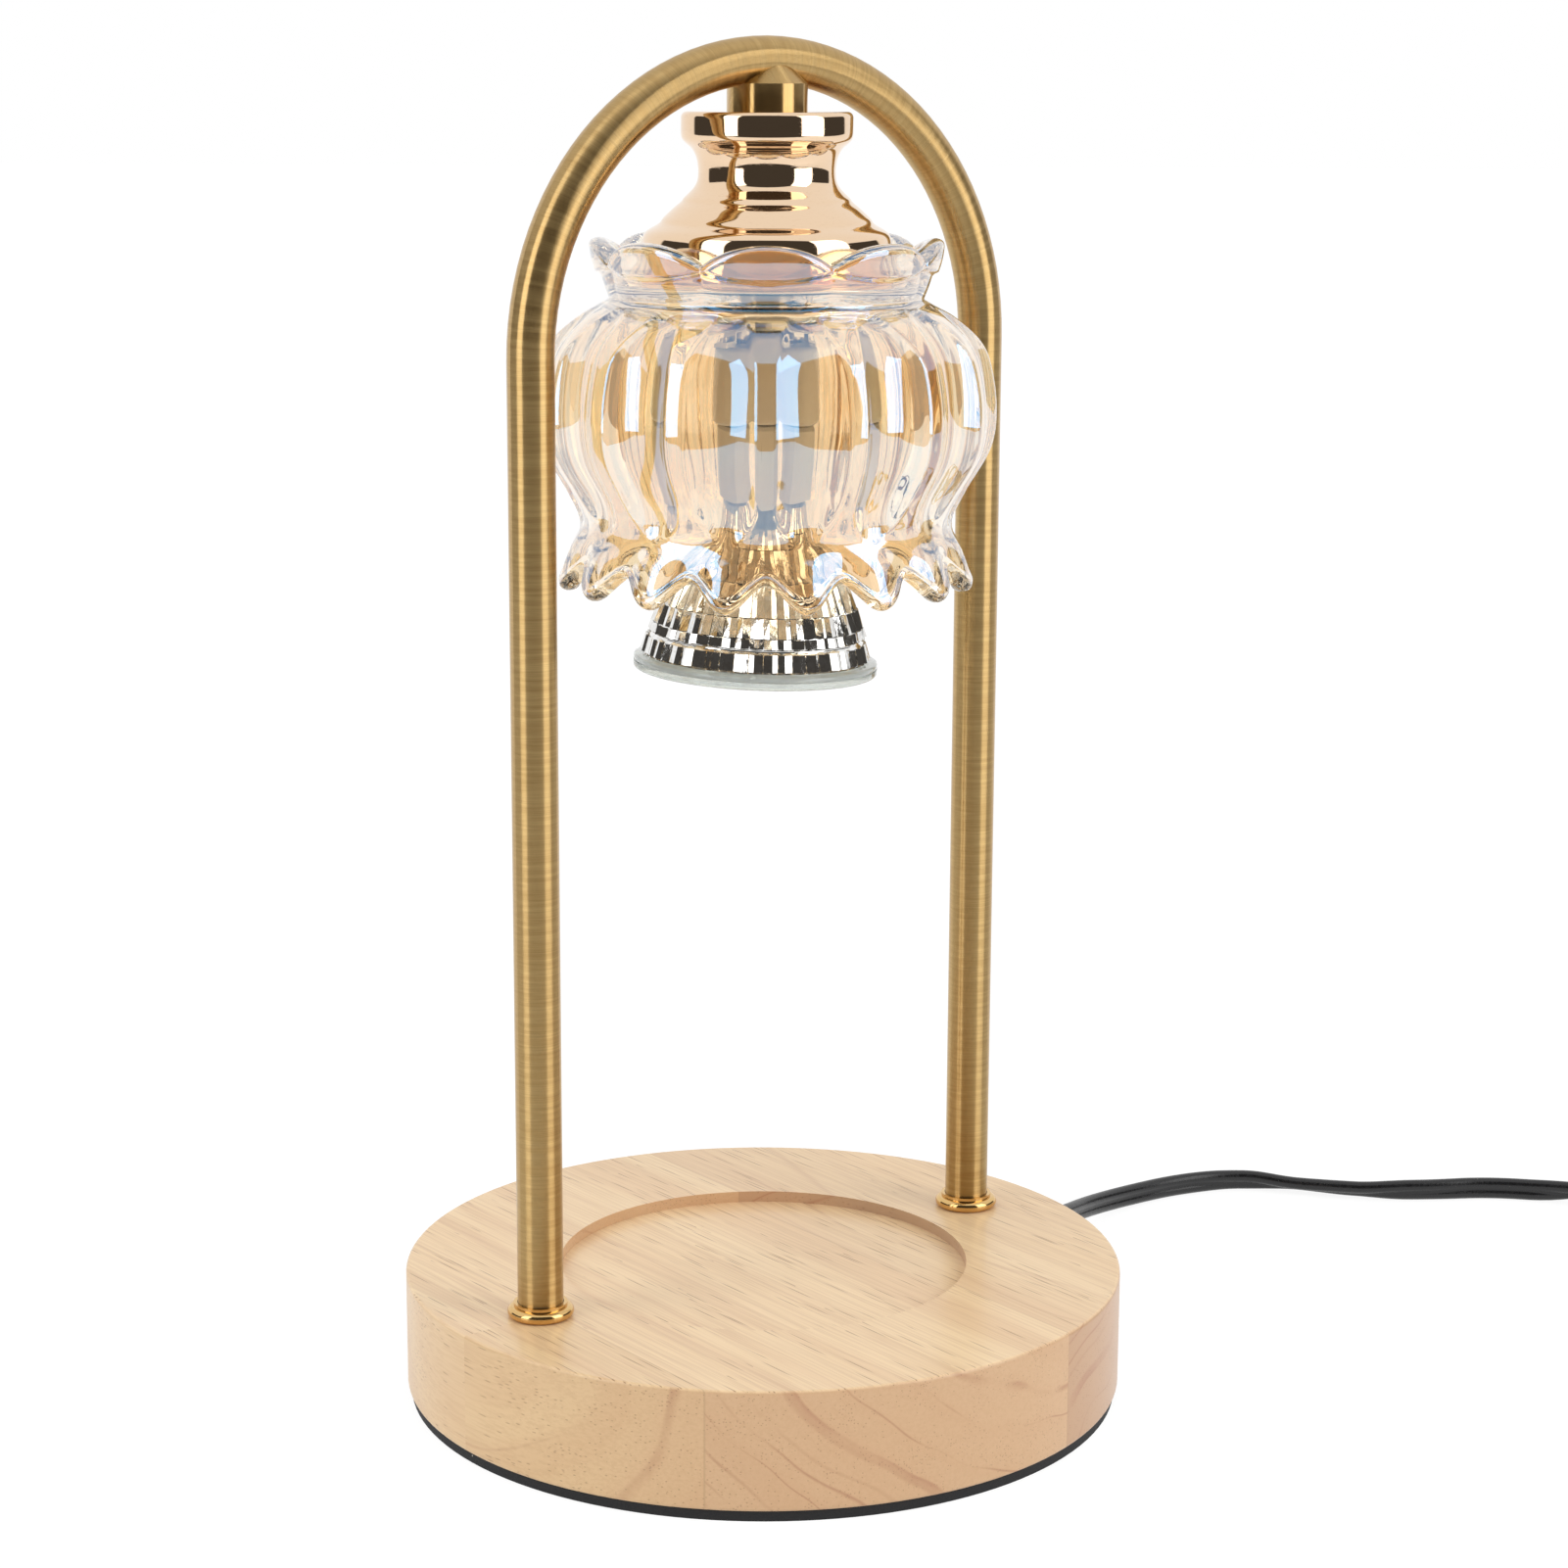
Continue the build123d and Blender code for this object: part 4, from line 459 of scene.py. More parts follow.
# ---------------------------------------------------------------- glass shade
# Thick pressed glass with a thin amber lustre fired on: a scalloped skirt, a fluted belly
# with sixteen ribs, and a collar of eight petals round the cap. It hangs by its shelf.
SHADE_RIM = 169.8  # all in mm until the mesh is made
RIBS = 16
PETALS = 8
LOBE_TURN = math.radians(18.75)
PETAL_TURN = math.radians(7.5)
RIB_HEIGHT = 2.8
SHADE_WALL = 3.0
WAIST_RISE = 13.2  # between skirt and belly
NECK_RISE = 57.7
RIM_ROUND = 1.5  # height of the rounding under the rim
BEAD_PROUD = 0.55  # how far the rim's bead stands out, on both sides
SCALLOP_DEPTH = 5.9
SCALLOP_END = 14.0  # the height at which the wall no longer follows the wavy rim
SHELF_TOP = 230.5  # from here on, heights are from the table
SHELF_UNDER = 226.5
SHELF_HOLE = 5.6  # radius
COLLAR_INSIDE = 28.2  # radius
PETAL_FOOT = 227.5
PETAL_TIP = 239.4
PETAL_ARC = 29.35  # radius of the arc along a petal's edge
PETAL_SPREAD = 35.3  # radius of the collar at the petals' edge
LIP_ROUND = 1.5
OUTLINE = (  # height above the rim, radius over the ribs, share of the full rib
    (0.0, 41.0, 0.9), (2.8, 41.7, 1.0), (8.0, 40.02, 0.8), (13.2, 37.5, 0.3), (18.72, 39.74, 0.8),
    (28.15, 45.07, 1.0), (36.2, 46.1, 1.0), (45.66, 44.63, 0.9), (49.96, 42.28, 0.8),
    (54.26, 37.28, 0.5), (57.7, 31.4, 0.1),
)


def ease(t):
    t = min(max(t, 0.0), 1.0)
    return t * t * (3 - 2 * t)


def outside_radius(angle, rise):
    """Radius of the outside. Over each lobe of the skirt stands a long flute with round ends."""
    crest, share = read_table(OUTLINE, rise, 0), read_table(OUTLINE, rise, 1)
    turn = (RIBS * (angle - LOBE_TURN) / math.pi) % 2
    from_lobe = min(turn, 2 - turn)
    wave = (1 - math.cos(math.pi * from_lobe)) / 2
    to_end = min(max(min((rise - WAIST_RISE) / 9.0, (57.0 - rise) / 12.0), 0.0), 1.0)
    width = 0.80 * math.sqrt(1 - (1 - to_end) ** 2)
    scoop = 0.0
    if width > 0.01:
        scoop = max(0.0, 1 - (from_lobe / width) ** 2) ** 0.95 * min(1.0, 1.6 * width)
    skirt = 1 - ease((rise - 5.0) / 9.0)
    return crest - RIB_HEIGHT * (share * scoop * (1 - skirt) + 0.75 * wave * skirt)


def scallop(angle):
    """How far the wavy rim rises above its lowest points."""
    return SCALLOP_DEPTH * (1 - math.cos(RIBS * (angle - LOBE_TURN))) / 2


def petal_place(angle):
    """Where an angle lies across its petal: 0 in the middle and 1 between two petals."""
    turn = (PETALS * (angle - PETAL_TURN) / math.pi) % 2
    return turn if turn <= 1 else 2 - turn


def petal_top(angle):
    """Height of the petals' edge: one arc for each petal, down to a notch between two."""
    aside = PETAL_SPREAD * math.tan(petal_place(angle) * math.pi / PETALS)
    return PETAL_TIP - (PETAL_ARC - math.sqrt(PETAL_ARC**2 - aside**2))


def petal_outside(angle, height):
    """Radius of a petal's outside, which steps out at its lip and dips towards its sides."""
    t = (height - PETAL_FOOT) / (PETAL_TIP - PETAL_FOOT)
    lip = 231.9 + 1.6 * petal_place(angle) ** 2
    crest = 31.4 + (8.1 * t - 4.2 * t * t) * (0.62 + 0.38 * ease((height - lip) / 1.0))
    dip = 0.2 * (1 - t) * (1 - 2 * t) + 0.8 * 4 * t * (1 - t) + 1.9 * t * (2 * t - 1)
    return crest - max(dip, 0.0) * petal_place(angle) ** 2.6


def petal_inside(angle, height):
    t = max(height - SHELF_TOP, 0.0) / (PETAL_TIP - SHELF_TOP)
    return COLLAR_INSIDE + 1.9 * t + 1.5 * ease(t) * (1 - petal_place(angle) ** 2)


def bead(rise):
    """The rim is a round bead that stands a little proud of the wall on both sides."""
    return BEAD_PROUD * max(0.0, 1 - ((rise - RIM_ROUND) / RIM_ROUND) ** 2)


def inside_radius(angle, rise):
    """The inside is smooth over the belly, and follows the lobes of the skirt."""
    smooth = read_table(OUTLINE, rise, 0) - RIB_HEIGHT * read_table(OUTLINE, rise, 1) - SHADE_WALL
    skirt = 1 - ease((rise - 6.0) / 9.0)
    return smooth + (outside_radius(angle, rise) - SHADE_WALL - smooth) * skirt


OUTSIDE_ROWS, PETAL_ROWS, LIP_ROWS, INSIDE_ROWS = 64, 24, 11, 44
INSIDE_TOP = 53.2  # where the inside turns in to the shelf, above the rim


def shade_profile(angle):
    """The closed outline of the glass at an angle, from its rim up the outside and back."""
    outline = []
    rim = scallop(angle)
    for n in range(OUTSIDE_ROWS):
        base = RIM_ROUND + (NECK_RISE - RIM_ROUND) * (n / (OUTSIDE_ROWS - 1)) ** 1.15
        rise = base + rim * max(0.0, 1 - base / SCALLOP_END)
        outline.append((outside_radius(angle, rise) + bead(base), SHADE_RIM + rise))
    edge = petal_top(angle) - LIP_ROUND
    for n in range(1, PETAL_ROWS + 1):
        height = PETAL_FOOT + (edge - PETAL_FOOT) * n / PETAL_ROWS
        outline.append((petal_outside(angle, height), height))
    outer, inner = petal_outside(angle, edge), petal_inside(angle, edge)
    middle, half = (outer + inner) / 2, (outer - inner) / 2
    for n in range(1, LIP_ROWS + 1):
        a = math.pi * n / (LIP_ROWS + 1)
        outline.append((middle + half * math.cos(a), edge + LIP_ROUND * math.sin(a) ** 0.8))
    for n in range(9):
        height = edge + (SHELF_TOP + 1.0 - edge) * n / 9
        outline.append((petal_inside(angle, height), height))
    # The shelf: its top inward to the hole, the hole's wall, and its underside outward.
    outline += [(COLLAR_INSIDE, SHELF_TOP + 0.8), (COLLAR_INSIDE - 0.25, SHELF_TOP + 0.3)]
    outline += [(r, SHELF_TOP) for r in (27.4, 25.0, 20.0, 14.0, 9.0, 6.1)]
    outline += [(SHELF_HOLE + 0.1, SHELF_TOP - 0.2), (SHELF_HOLE, SHELF_TOP - 0.6), (SHELF_HOLE, 228.5)]
    outline += [(SHELF_HOLE, SHELF_UNDER + 0.6), (SHELF_HOLE + 0.1, SHELF_UNDER + 0.2)]
    outline += [(r, SHELF_UNDER) for r in (6.1, 9.0, 12.0, 15.0)]
    outline += [(19.5, 226.4), (24.0, 226.05), (27.5, 225.5), (30.0, 224.7)]
    for n in range(INSIDE_ROWS):
        base = RIM_ROUND + (INSIDE_TOP - RIM_ROUND) * (1 - n / (INSIDE_ROWS - 1)) ** 1.15
        rise = base + rim * max(0.0, 1 - base / SCALLOP_END)
        outline.append((inside_radius(angle, rise) - bead(base), SHADE_RIM + rise))
    (outer, foot), (inner, _) = outline[0], outline[-1]
    for n in range(1, 10):
        a = math.pi * n / 10
        radius = (outer + inner) / 2 - (outer - inner) / 2 * math.cos(a)
        outline.append((radius, foot - RIM_ROUND * math.sin(a) ** 0.85))
    return outline


def amber_finish(name, film):
    """Amber glass with soft ripples, and the lustre as a thin film if it has one."""
    finish, tree, shader = start_finish(
        name, Roughness=0.0, IOR=1.52, Transmission_Weight=1.0, Thin_Film_Thickness=film, Thin_Film_IOR=2.1,
        Coat_Weight=min(film, 1.0), Coat_Roughness=0.0, Coat_IOR=1.75,
    )
    patchy = noise(tree, millimetres(tree, (30, 30, 60)), 1.0, 2.0)
    amber = tint(tree, fade(tree, patchy, 0.3, 0.7), (0.99, 0.875, 0.67, 1), (0.97, 0.80, 0.55, 1))
    tree.links.new(amber, shader.inputs["Base Color"])
    ripple = noise(tree, millimetres(tree, (160, 160, 90)), 1.0, 1.0)
    raise_surface(tree, shader, ripple, 0.0003, 0.35)
    return finish


lustre_glass = amber_finish("lustre_glass", 158.0)
shade_glass = ring_of_profiles("shade_glass", shade_profile, 512, lustre_glass)
shade_glass.data.materials.append(amber_finish("inner_glass", 0.0))
# The lustre lies on the outside only, up to the lips of the petals.
lustre_rows, all_rows = OUTSIDE_ROWS + PETAL_ROWS + LIP_ROWS, len(shade_profile(0.0))
for number, face in enumerate(shade_glass.data.polygons):
    face.material_index = int(number % all_rows >= lustre_rows)
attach(shade_glass, "root")
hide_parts("glass_shade")

# ---------------------------------------------------------------- gasket under the shelf
# A ring of clear-grey silicone between the glass and the steel washer.
give_finish(
    moulded_finish("silicone", (0.30, 0.29, 0.28, 1), (0.5, 0.5, 0.5, 1), 2.0, 0.02, 0.00003, Roughness=0.5),
    "shade_gasket",
)

# ---------------------------------------------------------------- lampholder and contacts
# Glazed white ceramic, screwed to the bracket, with two sprung brass contacts. The lamp's
# own base is of the same ceramic, with two turned pins.
ceramic, tree, glaze = start_finish("ceramic", Roughness=0.32, Coat_Weight=0.4, Coat_Roughness=0.08)
speckle = place_group(tree, dust_and_grain, Place=millimetres(tree), Grain_per_mm=0.8, Dust_share=0.06)
body_tone = tint(tree, speckle["Grain"], (0.83, 0.81, 0.76, 1), (0.76, 0.735, 0.68, 1))
body_tone = tint(tree, times(tree, speckle["Dust"], 0.5), body_tone, (0.4, 0.33, 0.25, 1))
tree.links.new(body_tone, glaze.inputs["Base Color"])
raise_surface(tree, glaze, speckle["Grain"], 0.00004, 0.5)
give_finish(ceramic, "lampholder", "bulb_base")
contact_brass = polished_finish("contact_brass", (0.72, 0.52, 0.25, 1), (0.42, 0.28, 0.12, 1), 0.22, 0.1)
give_finish(contact_brass, "holder_contacts", "bulb_pins", "dimmer_shaft")

# ---------------------------------------------------------------- reflector lamp
# A 50 mm twist-lock halogen lamp: a pressed glass bowl, mirrored outside in tall facets, a
# pale flange, a clear front glass, and a quartz capsule inside. It leans in its holder.
LAMP_ORIGIN = Vector((0, 0, 0.20245))
LAMP_UP = Vector((0.032772, -0.026068, 0.999123))
FACETS = 48
lamp_lean = Vector((0, 0, 1)).rotation_difference(LAMP_UP).to_matrix().to_4x4()
lamp_place = Matrix.Translation(LAMP_ORIGIN) @ lamp_lean
BOWL = (  # height from the lamp's base, radius, in mm
    (-14.0, 8.0), (-18.0, 10.5), (-22.5, 13.2), (-29.15, 16.75), (-35.0, 19.3), (-41.0, 21.4), (-47.3, 23.1),
)


def bowl_radius(height):
    """Radius of the bowl's outside at a height from its base."""
    for (h0, r0), (h1, r1) in zip(BOWL, BOWL[1:]):
        if height >= h1:
            break
    return r0 + (r1 - r0) * (height - h0) / (h1 - h0)


def bowl_shell(angle):
    """The bowl's wall, its groove and its flange, outside then inside."""
    outline = [(r - 0.3, z) for z, r in BOWL[:-1]]
    outline += [(21.5, -42.2), (21.2, -42.5), (21.2, -43.0), (21.7, -43.3), (22.5, -46.6), (22.8, -47.0)]
    outline += [(23.4, -47.2), (24.3, -47.3), (24.7, -47.5), (24.8, -47.9), (24.75, -48.3), (24.5, -48.5)]
    outline += [(21.3, -48.5), (21.3, -46.5), (19.9, -41.0), (17.8, -35.0), (15.2, -29.15), (11.6, -22.5)]
    return outline + [(8.6, -17.5), (6.8, -14.0)]


mirror, tree, silver = start_finish(
    "mirror_coat", Metallic=1.0, Roughness=0.07, Coat_Weight=0.6, Coat_Roughness=0.03
)
melt = noise(tree, millimetres(tree), 0.55, 2.0, 0.6)
bright = tint(tree, fade(tree, melt, 0.35, 0.7), (0.86, 0.86, 0.85, 1), (0.74, 0.72, 0.69, 1))
tree.links.new(bright, silver.inputs["Base Color"])
raise_surface(tree, silver, melt, 0.0001, 0.35)
bowl = ring_of_profiles("reflector_bowl", bowl_shell, 192, mirror)

# Facets stand on the shell, each with a ridge of its own, in tall rows and one short row.
facet_mesh = bmesh.new()
facet_mesh.from_mesh(bowl.data)
facet_rows = (
    (-15.0, -21.8), (-22.0, -29.9), (-30.1, -36.3), (-36.5, -40.2), (-40.4, -42.2), (-43.3, -46.6),
)
for row, (top, bottom) in enumerate(facet_rows):
    for n in range(FACETS):
        middle = 2 * math.pi * n / FACETS
        half = 0.94 * math.pi / FACETS
        ridge = 0.42 + 0.16 * math.sin(5.1 * n + 2.3 * row)
        shift = 0.3 * math.sin(3.7 * n + 1.9 * row)
        edges = []
        for depth in (bottom, top):
            for side_turn, lift in ((-1, 0.0), (shift, ridge), (1, 0.0)):
                lift += 0.08 * math.sin(7.3 * n + 4.7 * row + depth)
                r = bowl_radius(depth) + lift * min(1.0, bowl_radius(depth) / 18)
                a = middle + side_turn * half
                corner = Vector((r * math.cos(a), r * math.sin(a), depth)) / 1000
                edges.append(facet_mesh.verts.new(corner))
        for left in (0, 1):
            facet_mesh.faces.new([edges[left + k] for k in (0, 1, 4, 3)])
facet_mesh.to_mesh(bowl.data)
facet_mesh.free()
pale_glass, tree, flange = start_finish(
    "pale_glass", Roughness=0.12, IOR=1.5, Transmission_Weight=0.6, Coat_Weight=0.5, Coat_Roughness=0.05
)
pale = tint(tree, noise(tree, millimetres(tree), 0.12, 1.0), (0.84, 0.92, 0.88, 1), (0.94, 0.98, 0.96, 1))
tree.links.new(pale, flange.inputs["Base Color"])
raise_surface(tree, flange, noise(tree, millimetres(tree), 0.8, 1.0), 0.00008, 0.4)
bowl.data.materials.append(pale_glass)
for face in bowl.data.polygons:
    if face.center.z < -0.0471 and Vector(face.center[:2]).length > 0.0215:
        face.material_index = 1
bowl.data.transform(lamp_place)
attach(bowl, "bulb")
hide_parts("bulb_reflector")

front_glass, tree, clear = start_finish("front_glass", Roughness=0.05, IOR=1.5, Transmission_Weight=0.85)
pale = tint(tree, noise(tree, millimetres(tree), 0.15, 1.0), (0.86, 0.95, 0.91, 1), (0.94, 0.985, 0.965, 1))
tree.links.new(pale, clear.inputs["Base Color"])
raise_surface(tree, clear, noise(tree, millimetres(tree), 0.5, 1.0), 0.00005, 0.3)
give_finish(front_glass, "bulb_lens")
quartz, tree, capsule = start_finish("quartz", Roughness=0.18, IOR=1.46, Transmission_Weight=0.7)
frosted = tint(tree, noise(tree, millimetres(tree), 0.3, 2.0), (0.93, 0.93, 0.92, 1), (0.80, 0.79, 0.76, 1))
tree.links.new(frosted, capsule.inputs["Base Color"])
raise_surface(tree, capsule, noise(tree, millimetres(tree), 1.2, 1.0), 0.00003, 0.4)
give_finish(quartz, "bulb_capsule")

# ---------------------------------------------------------------- wiring out of sight
# Two sheathed wires run from the terminal block in the base up the right leg and down the
# nipple to the lampholder. The block is moulded, and its screws are plated brass.
wire_sheath = moulded_finish(
    "wire_sheath", (0.55, 0.53, 0.48, 1), (0.4, 0.35, 0.3, 1), 1.5, 0.02, 0.00002, Roughness=0.45
)
give_finish(wire_sheath, "supply_wires")
terminal_plastic = moulded_finish(
    "terminal_plastic", (0.66, 0.64, 0.58, 1), (0.4, 0.36, 0.3, 1), 2.5, 0.03, 0.00004, Roughness=0.5
)
give_finish(terminal_plastic, "terminal_block")
give_finish(contact_brass, "terminal_screws")

# ---------------------------------------------------------------- lamp cord
# Flat twin cord, 5.2 by 3 mm, in black vinyl, with a groove between its two cores. It
# leaves the base through a moulded gland, and lies on the table in slow curves to a dimmer.
CORD_CORE = 1.5  # radius of one core in its sheath, in mm
CORD_CORE_ASIDE = 1.1
black_vinyl = moulded_finish(
    "black_vinyl", (0.009, 0.009, 0.010, 1), (0.13, 0.12, 0.11, 1), 1.1, 0.03, 0.00005, Roughness=0.28, IOR=1.5
)


def smooth_line(route):
    """Points read from a smooth NURBS line whose control points are the route, in metres."""
    data = bpy.data.curves.new("route", "CURVE")
    data.dimensions = "3D"
    data.resolution_u = 8
    spline = data.splines.new("NURBS")
    spline.points.add(len(route) - 1)
    for point, place in zip(spline.points, route):
        point.co = (*place, 1)
    spline.order_u = 3
    spline.use_endpoint_u = True
    holder = bpy.data.objects.new("route", data)
    bpy.context.scene.collection.objects.link(holder)
    bpy.context.view_layer.update()
    read = bpy.data.meshes.new_from_object(holder)
    line = [v.co.copy() for v in read.vertices]
    bpy.data.objects.remove(holder)
    bpy.data.curves.remove(data)
    bpy.data.meshes.remove(read)
    return line


def flat_cord(name, line, leans):
    """The flat cord as a mesh along a line. It leans from lying flat, 0, to standing, 90."""
    section = []
    for n in range(28):
        a = 2 * math.pi * n / 28
        wide = (CORD_CORE + CORD_CORE_ASIDE) * math.cos(a)
        thick = math.sqrt(max(CORD_CORE**2 - (abs(wide) - CORD_CORE_ASIDE) ** 2, 0.0))
        section.append((wide / 1000, math.copysign(thick, math.sin(a)) / 1000))
    points, faces = [], []
    for n, place in enumerate(line):
        ahead = (line[min(n + 1, len(line) - 1)] - line[max(n - 1, 0)]).normalized()
        level = ahead.cross(Vector((0, 0, 1))).normalized()
        upright = level.cross(ahead)
        t = n / (len(line) - 1) * (len(leans) - 1)
        k = min(int(t), len(leans) - 2)
        lean = math.radians(leans[k] + (leans[k + 1] - leans[k]) * ease(t - k))
        broad_way = level * math.cos(lean) + upright * math.sin(lean)
        thin_way = upright * math.cos(lean) - level * math.sin(lean)
        points += [place + broad_way * wide + thin_way * thick for wide, thick in section]
    count = len(section)
    for n in range(len(line) - 1):
        for k in range(count):
            m = (k + 1) % count
            faces.append((n * count + k, n * count + m, (n + 1) * count + m, (n + 1) * count + k))
    faces.append(tuple(range(count)))
    faces.append(tuple(reversed(range(len(points) - count, len(points)))))
    return smooth_piece(name, points, faces, black_vinyl)


lamp_cord_route = [
    (0.09495, 0.01796, 0.0088), (0.107, 0.0232, 0.0068), (0.121, 0.030, 0.0044), (0.137, 0.0336, 0.0028),
    (0.154, 0.0328, 0.0026), (0.1695, 0.0272, 0.0026), (0.1795, 0.0155, 0.0022), (0.188, 0.0025, 0.0024),
    (0.2005, -0.008, 0.0027), (0.214, -0.0156, 0.0027), (0.2255, -0.0285, 0.0026), (0.235, -0.043, 0.0055),
]
lamp_cord_line = smooth_line(lamp_cord_route)
lamp_flex = flat_cord("lamp_flex", lamp_cord_line, (90, 90, 90, 90, 88, 66, 20, 34, 76, 90, 90, 0))
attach(lamp_flex, "root")
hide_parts("lamp_cord")
give_finish(black_vinyl, "cord_gland", "cord_pigtail", "dimmer_relief_in", "dimmer_relief_out")

# ---------------------------------------------------------------- in-line dimmer
# Two black ABS shells, screwed together round the board, with a knurled wheel that stands
# out of one side. A moulded relief guards the cord at each end.
shell_plastic = moulded_finish(
    "shell_plastic", (0.017, 0.017, 0.018, 1), (0.2, 0.19, 0.18, 1), 5.0, 0.03, 0.00005, Roughness=0.42
)
give_finish(shell_plastic, "dimmer_lower_shell", "dimmer_upper_shell")
wheel_plastic = moulded_finish(
    "wheel_plastic", (0.022, 0.022, 0.023, 1), (0.2, 0.19, 0.18, 1), 2.0, 0.02, 0.00003, Roughness=0.32
)
give_finish(wheel_plastic, "dimmer_wheel")
board_laminate = moulded_finish(
    "board_laminate", (0.05, 0.16, 0.07, 1), (0.6, 0.6, 0.55, 1), 1.5, 0.2, 0.00003, Roughness=0.4
)
give_finish(board_laminate, "dimmer_board", "dimmer_control")

# ---------------------------------------------------------------- mains lead, coil and tie
# The same flat cord from the dimmer to the plug, about 1.2 m. Its spare length is wound in
# six flat turns, three layers of two, and held by a strap.
COIL_MIDDLE = (0.212, -0.135)
COIL_TURNS = ((31.0, 0), (25.8, 0), (25.8, 1), (31.0, 1), (25.8, 2), (31.0, 2))
POINTS_A_TURN = 16
mains_route = [
    (0.2763, -0.1207, 0.0055), (0.2818, -0.1357, 0.0034), (0.2788, -0.1524, 0.0017), (0.2674, -0.165, 0.0015),
    (0.2512, -0.1703, 0.0015), (0.238, -0.1692, 0.0015), (0.225, -0.1669, 0.0018),
]
for turn, (radius, layer) in enumerate(COIL_TURNS):
    following = COIL_TURNS[min(turn + 1, len(COIL_TURNS) - 1)]
    for n in range(POINTS_A_TURN):
        # The cord steps over to its next lane in the last fifth of a turn.
        step = ease((n / POINTS_A_TURN - 0.72) / 0.22)
        r = (radius + (following[0] - radius) * step) / 1000 / 0.985
        z = (2.35 + 3.1 * (layer + (following[1] - layer) * step)) / 1000
        a = math.radians(-90 - 360 * (n + 0.25) / POINTS_A_TURN)
        mains_route.append((COIL_MIDDLE[0] + r * math.cos(a), COIL_MIDDLE[1] + r * math.sin(a), z))
mains_route += [(0.212, -0.1662, 0.00855), (0.197, -0.1652, 0.0078), (0.183, -0.1628, 0.0075)]
mains_line = smooth_line(mains_route)
mains_flex = flat_cord("mains_flex", mains_line, (0, 0))
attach(mains_flex, "root")
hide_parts("loop_cord", "cord_coil", "tail_cord")
give_finish(wheel_plastic, "cord_tie")

# ---------------------------------------------------------------- plug
# A moulded two-pin plug in the cord's own vinyl, with plated blades.
give_finish(black_vinyl, "plug_body")
blade_plate = polished_finish("blade_plate", (0.70, 0.68, 0.62, 1), (0.42, 0.40, 0.35, 1), 0.2, 0.12)
give_finish(blade_plate, "plug_blades")

# ---------------------------------------------------------------- table, room and light
# A white table in a white studio that is dark behind the camera, two tall soft boxes beside
# the camera, and the camera a little above the shade.
CAMERA_SIDE = Vector((-0.614, -0.789, 0.0))
CAMERA_RIGHT = Vector((0.789, -0.614, 0.0))
TABLE_EDGE = 0.64  # from the lamp to the table's front edge, in metres
TABLE_HALF = 0.9  # half the length of that edge
floor_mesh = bpy.data.meshes.new("table_top")
corners = [
    CAMERA_SIDE * t + CAMERA_RIGHT * a
    for t, a in ((TABLE_EDGE, -TABLE_HALF), (TABLE_EDGE, TABLE_HALF), (-9, 9), (-9, -9))
]
floor_mesh.from_pydata(corners, [], [(0, 1, 2, 3)])
table_top = bpy.data.objects.new("table_top", floor_mesh)
bpy.context.scene.collection.objects.link(table_top)
white_table, tree, table_shader = start_finish(
    "white_table", Roughness=0.9, Base_Color=(0.86, 0.86, 0.86, 1)
)
# Seen by the camera, in a mirror or through glass, the table glows white under its shadows.
rays = add_node(tree, "LightPath").outputs
seen = reckon(tree, "MAXIMUM", rays["Is Glossy Ray"], rays["Is Transmission Ray"])
seen = reckon(tree, "MAXIMUM", rays["Is Camera Ray"], seen)
glow = add_node(tree, "Emission", {"Color": (1, 1, 1, 1), "Strength": 1.12})
glowing = times(tree, seen, 0.8)
mix = add_node(tree, "MixShader", {0: glowing, 1: table_shader.outputs[0], 2: glow.outputs[0]})
tree.links.new(mix.outputs[0], tree.nodes["Material Output"].inputs["Surface"])
floor_mesh.materials.append(white_table)

studio = bpy.data.worlds.new("studio")
bpy.context.scene.world = studio
studio.use_nodes = True
tree = studio.node_tree
way = add_node(tree, "TexCoord").outputs["Generated"]
rise = add_node(tree, "SeparateXYZ", {0: way}).outputs[2]
towards = add_node(tree, "VectorMath", {0: way, 1: CAMERA_SIDE}, operation="DOT_PRODUCT").outputs["Value"]
aside = add_node(tree, "VectorMath", {0: way, 1: CAMERA_RIGHT}, operation="DOT_PRODUCT").outputs["Value"]
# The room is dark between these angles, in radians round from the camera's side.
turned = reckon(tree, "ARCTAN2", aside, towards)
dark_side = times(tree, fade(tree, turned, -2.02, -1.94), fade(tree, turned, 2.25, 2.17))
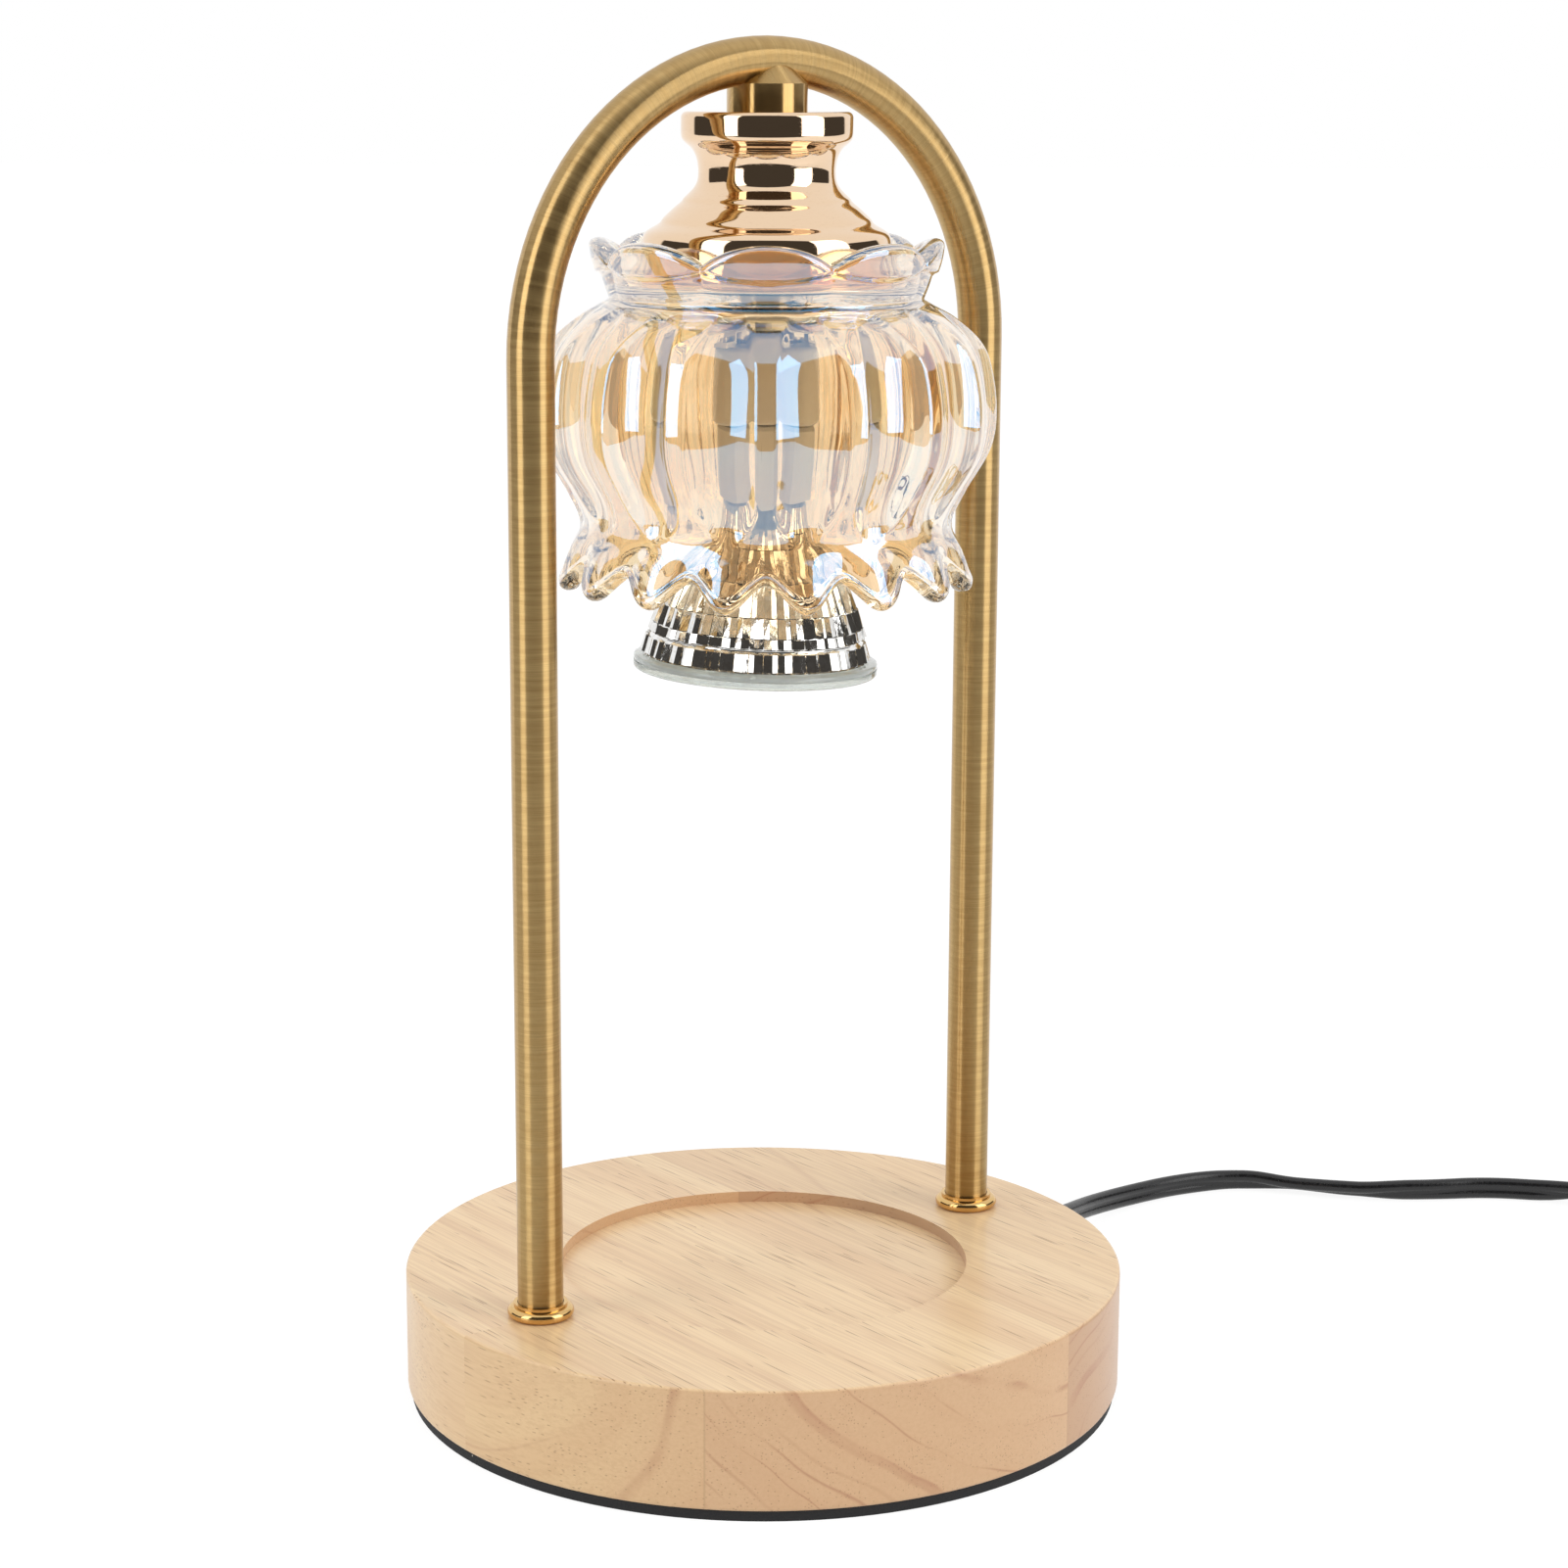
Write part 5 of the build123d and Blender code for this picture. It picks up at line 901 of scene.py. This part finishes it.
# A white ceiling panel hangs over the table. Its edges are slopes, run over rise.
above = reckon(tree, "MAXIMUM", rise, 0.001)
under_front = fade(tree, reckon(tree, "DIVIDE", towards, above), 0.66, 0.60)
under_side = fade(tree, reckon(tree, "ABSOLUTE", reckon(tree, "DIVIDE", aside, above)), 2.9, 2.6)
panel = times(tree, under_front, under_side)
dark_side = times(tree, dark_side, reckon(tree, "SUBTRACT", 1.0, panel))
room = tint(tree, dark_side, (1.0, 1.0, 1.0, 1), (0.06, 0.055, 0.05, 1))
# Through the amber glass the room looks warmer, and as plain light it is evener.
rays = add_node(tree, "LightPath").outputs
room = tint(tree, times(tree, rays["Is Transmission Ray"], 0.5), room, (1.0, 0.86, 0.71, 1))
room = tint(tree, times(tree, rays["Is Diffuse Ray"], 0.6), room, (0.72, 0.72, 0.72, 1))
room = tint(tree, rays["Is Camera Ray"], room, (1, 1, 1, 1))
tree.links.new(room, tree.nodes["Background"].inputs["Color"])

BOX_AWAY, BOX_UP, BOX_TALL = 0.9, 0.6, 1.05  # from the lamp, above the table, and height
BOX_RADIANCE = 2.6
for name, turn, wide in (("left_box", -52, 0.42), ("right_box", 64, 0.56)):
    box_light = bpy.data.lights.new(name, "AREA")
    box_light.shape = "RECTANGLE"
    box_light.size = wide
    box_light.size_y = BOX_TALL
    box_light.energy = BOX_RADIANCE * math.pi * wide * BOX_TALL
    soft_box = bpy.data.objects.new(name, box_light)
    turn = math.radians(turn)
    way_out = CAMERA_SIDE * math.cos(turn) + CAMERA_RIGHT * math.sin(turn)
    soft_box.location = way_out * BOX_AWAY + Vector((0, 0, BOX_UP))
    soft_box.rotation_euler = way_out.to_track_quat("Z", "Y").to_euler()
    soft_box.visible_camera = False
    bpy.context.scene.collection.objects.link(soft_box)

eye = bpy.data.cameras.new("camera")
eye.lens = 78.03
eye.sensor_width = 36.0
eye.clip_start = 0.01
camera = bpy.data.objects.new("camera", eye)
camera.location = (-0.41537, -0.54044, 0.27229)
camera.rotation_euler = (math.radians(78.10), math.radians(-0.255), math.radians(-37.82))
bpy.context.scene.collection.objects.link(camera)
bpy.context.scene.camera = camera
bpy.context.scene.view_settings.view_transform = "Standard"
# Light turns back many times inside the thick glass before it leaves.
bpy.context.scene.cycles.glossy_bounces = 16
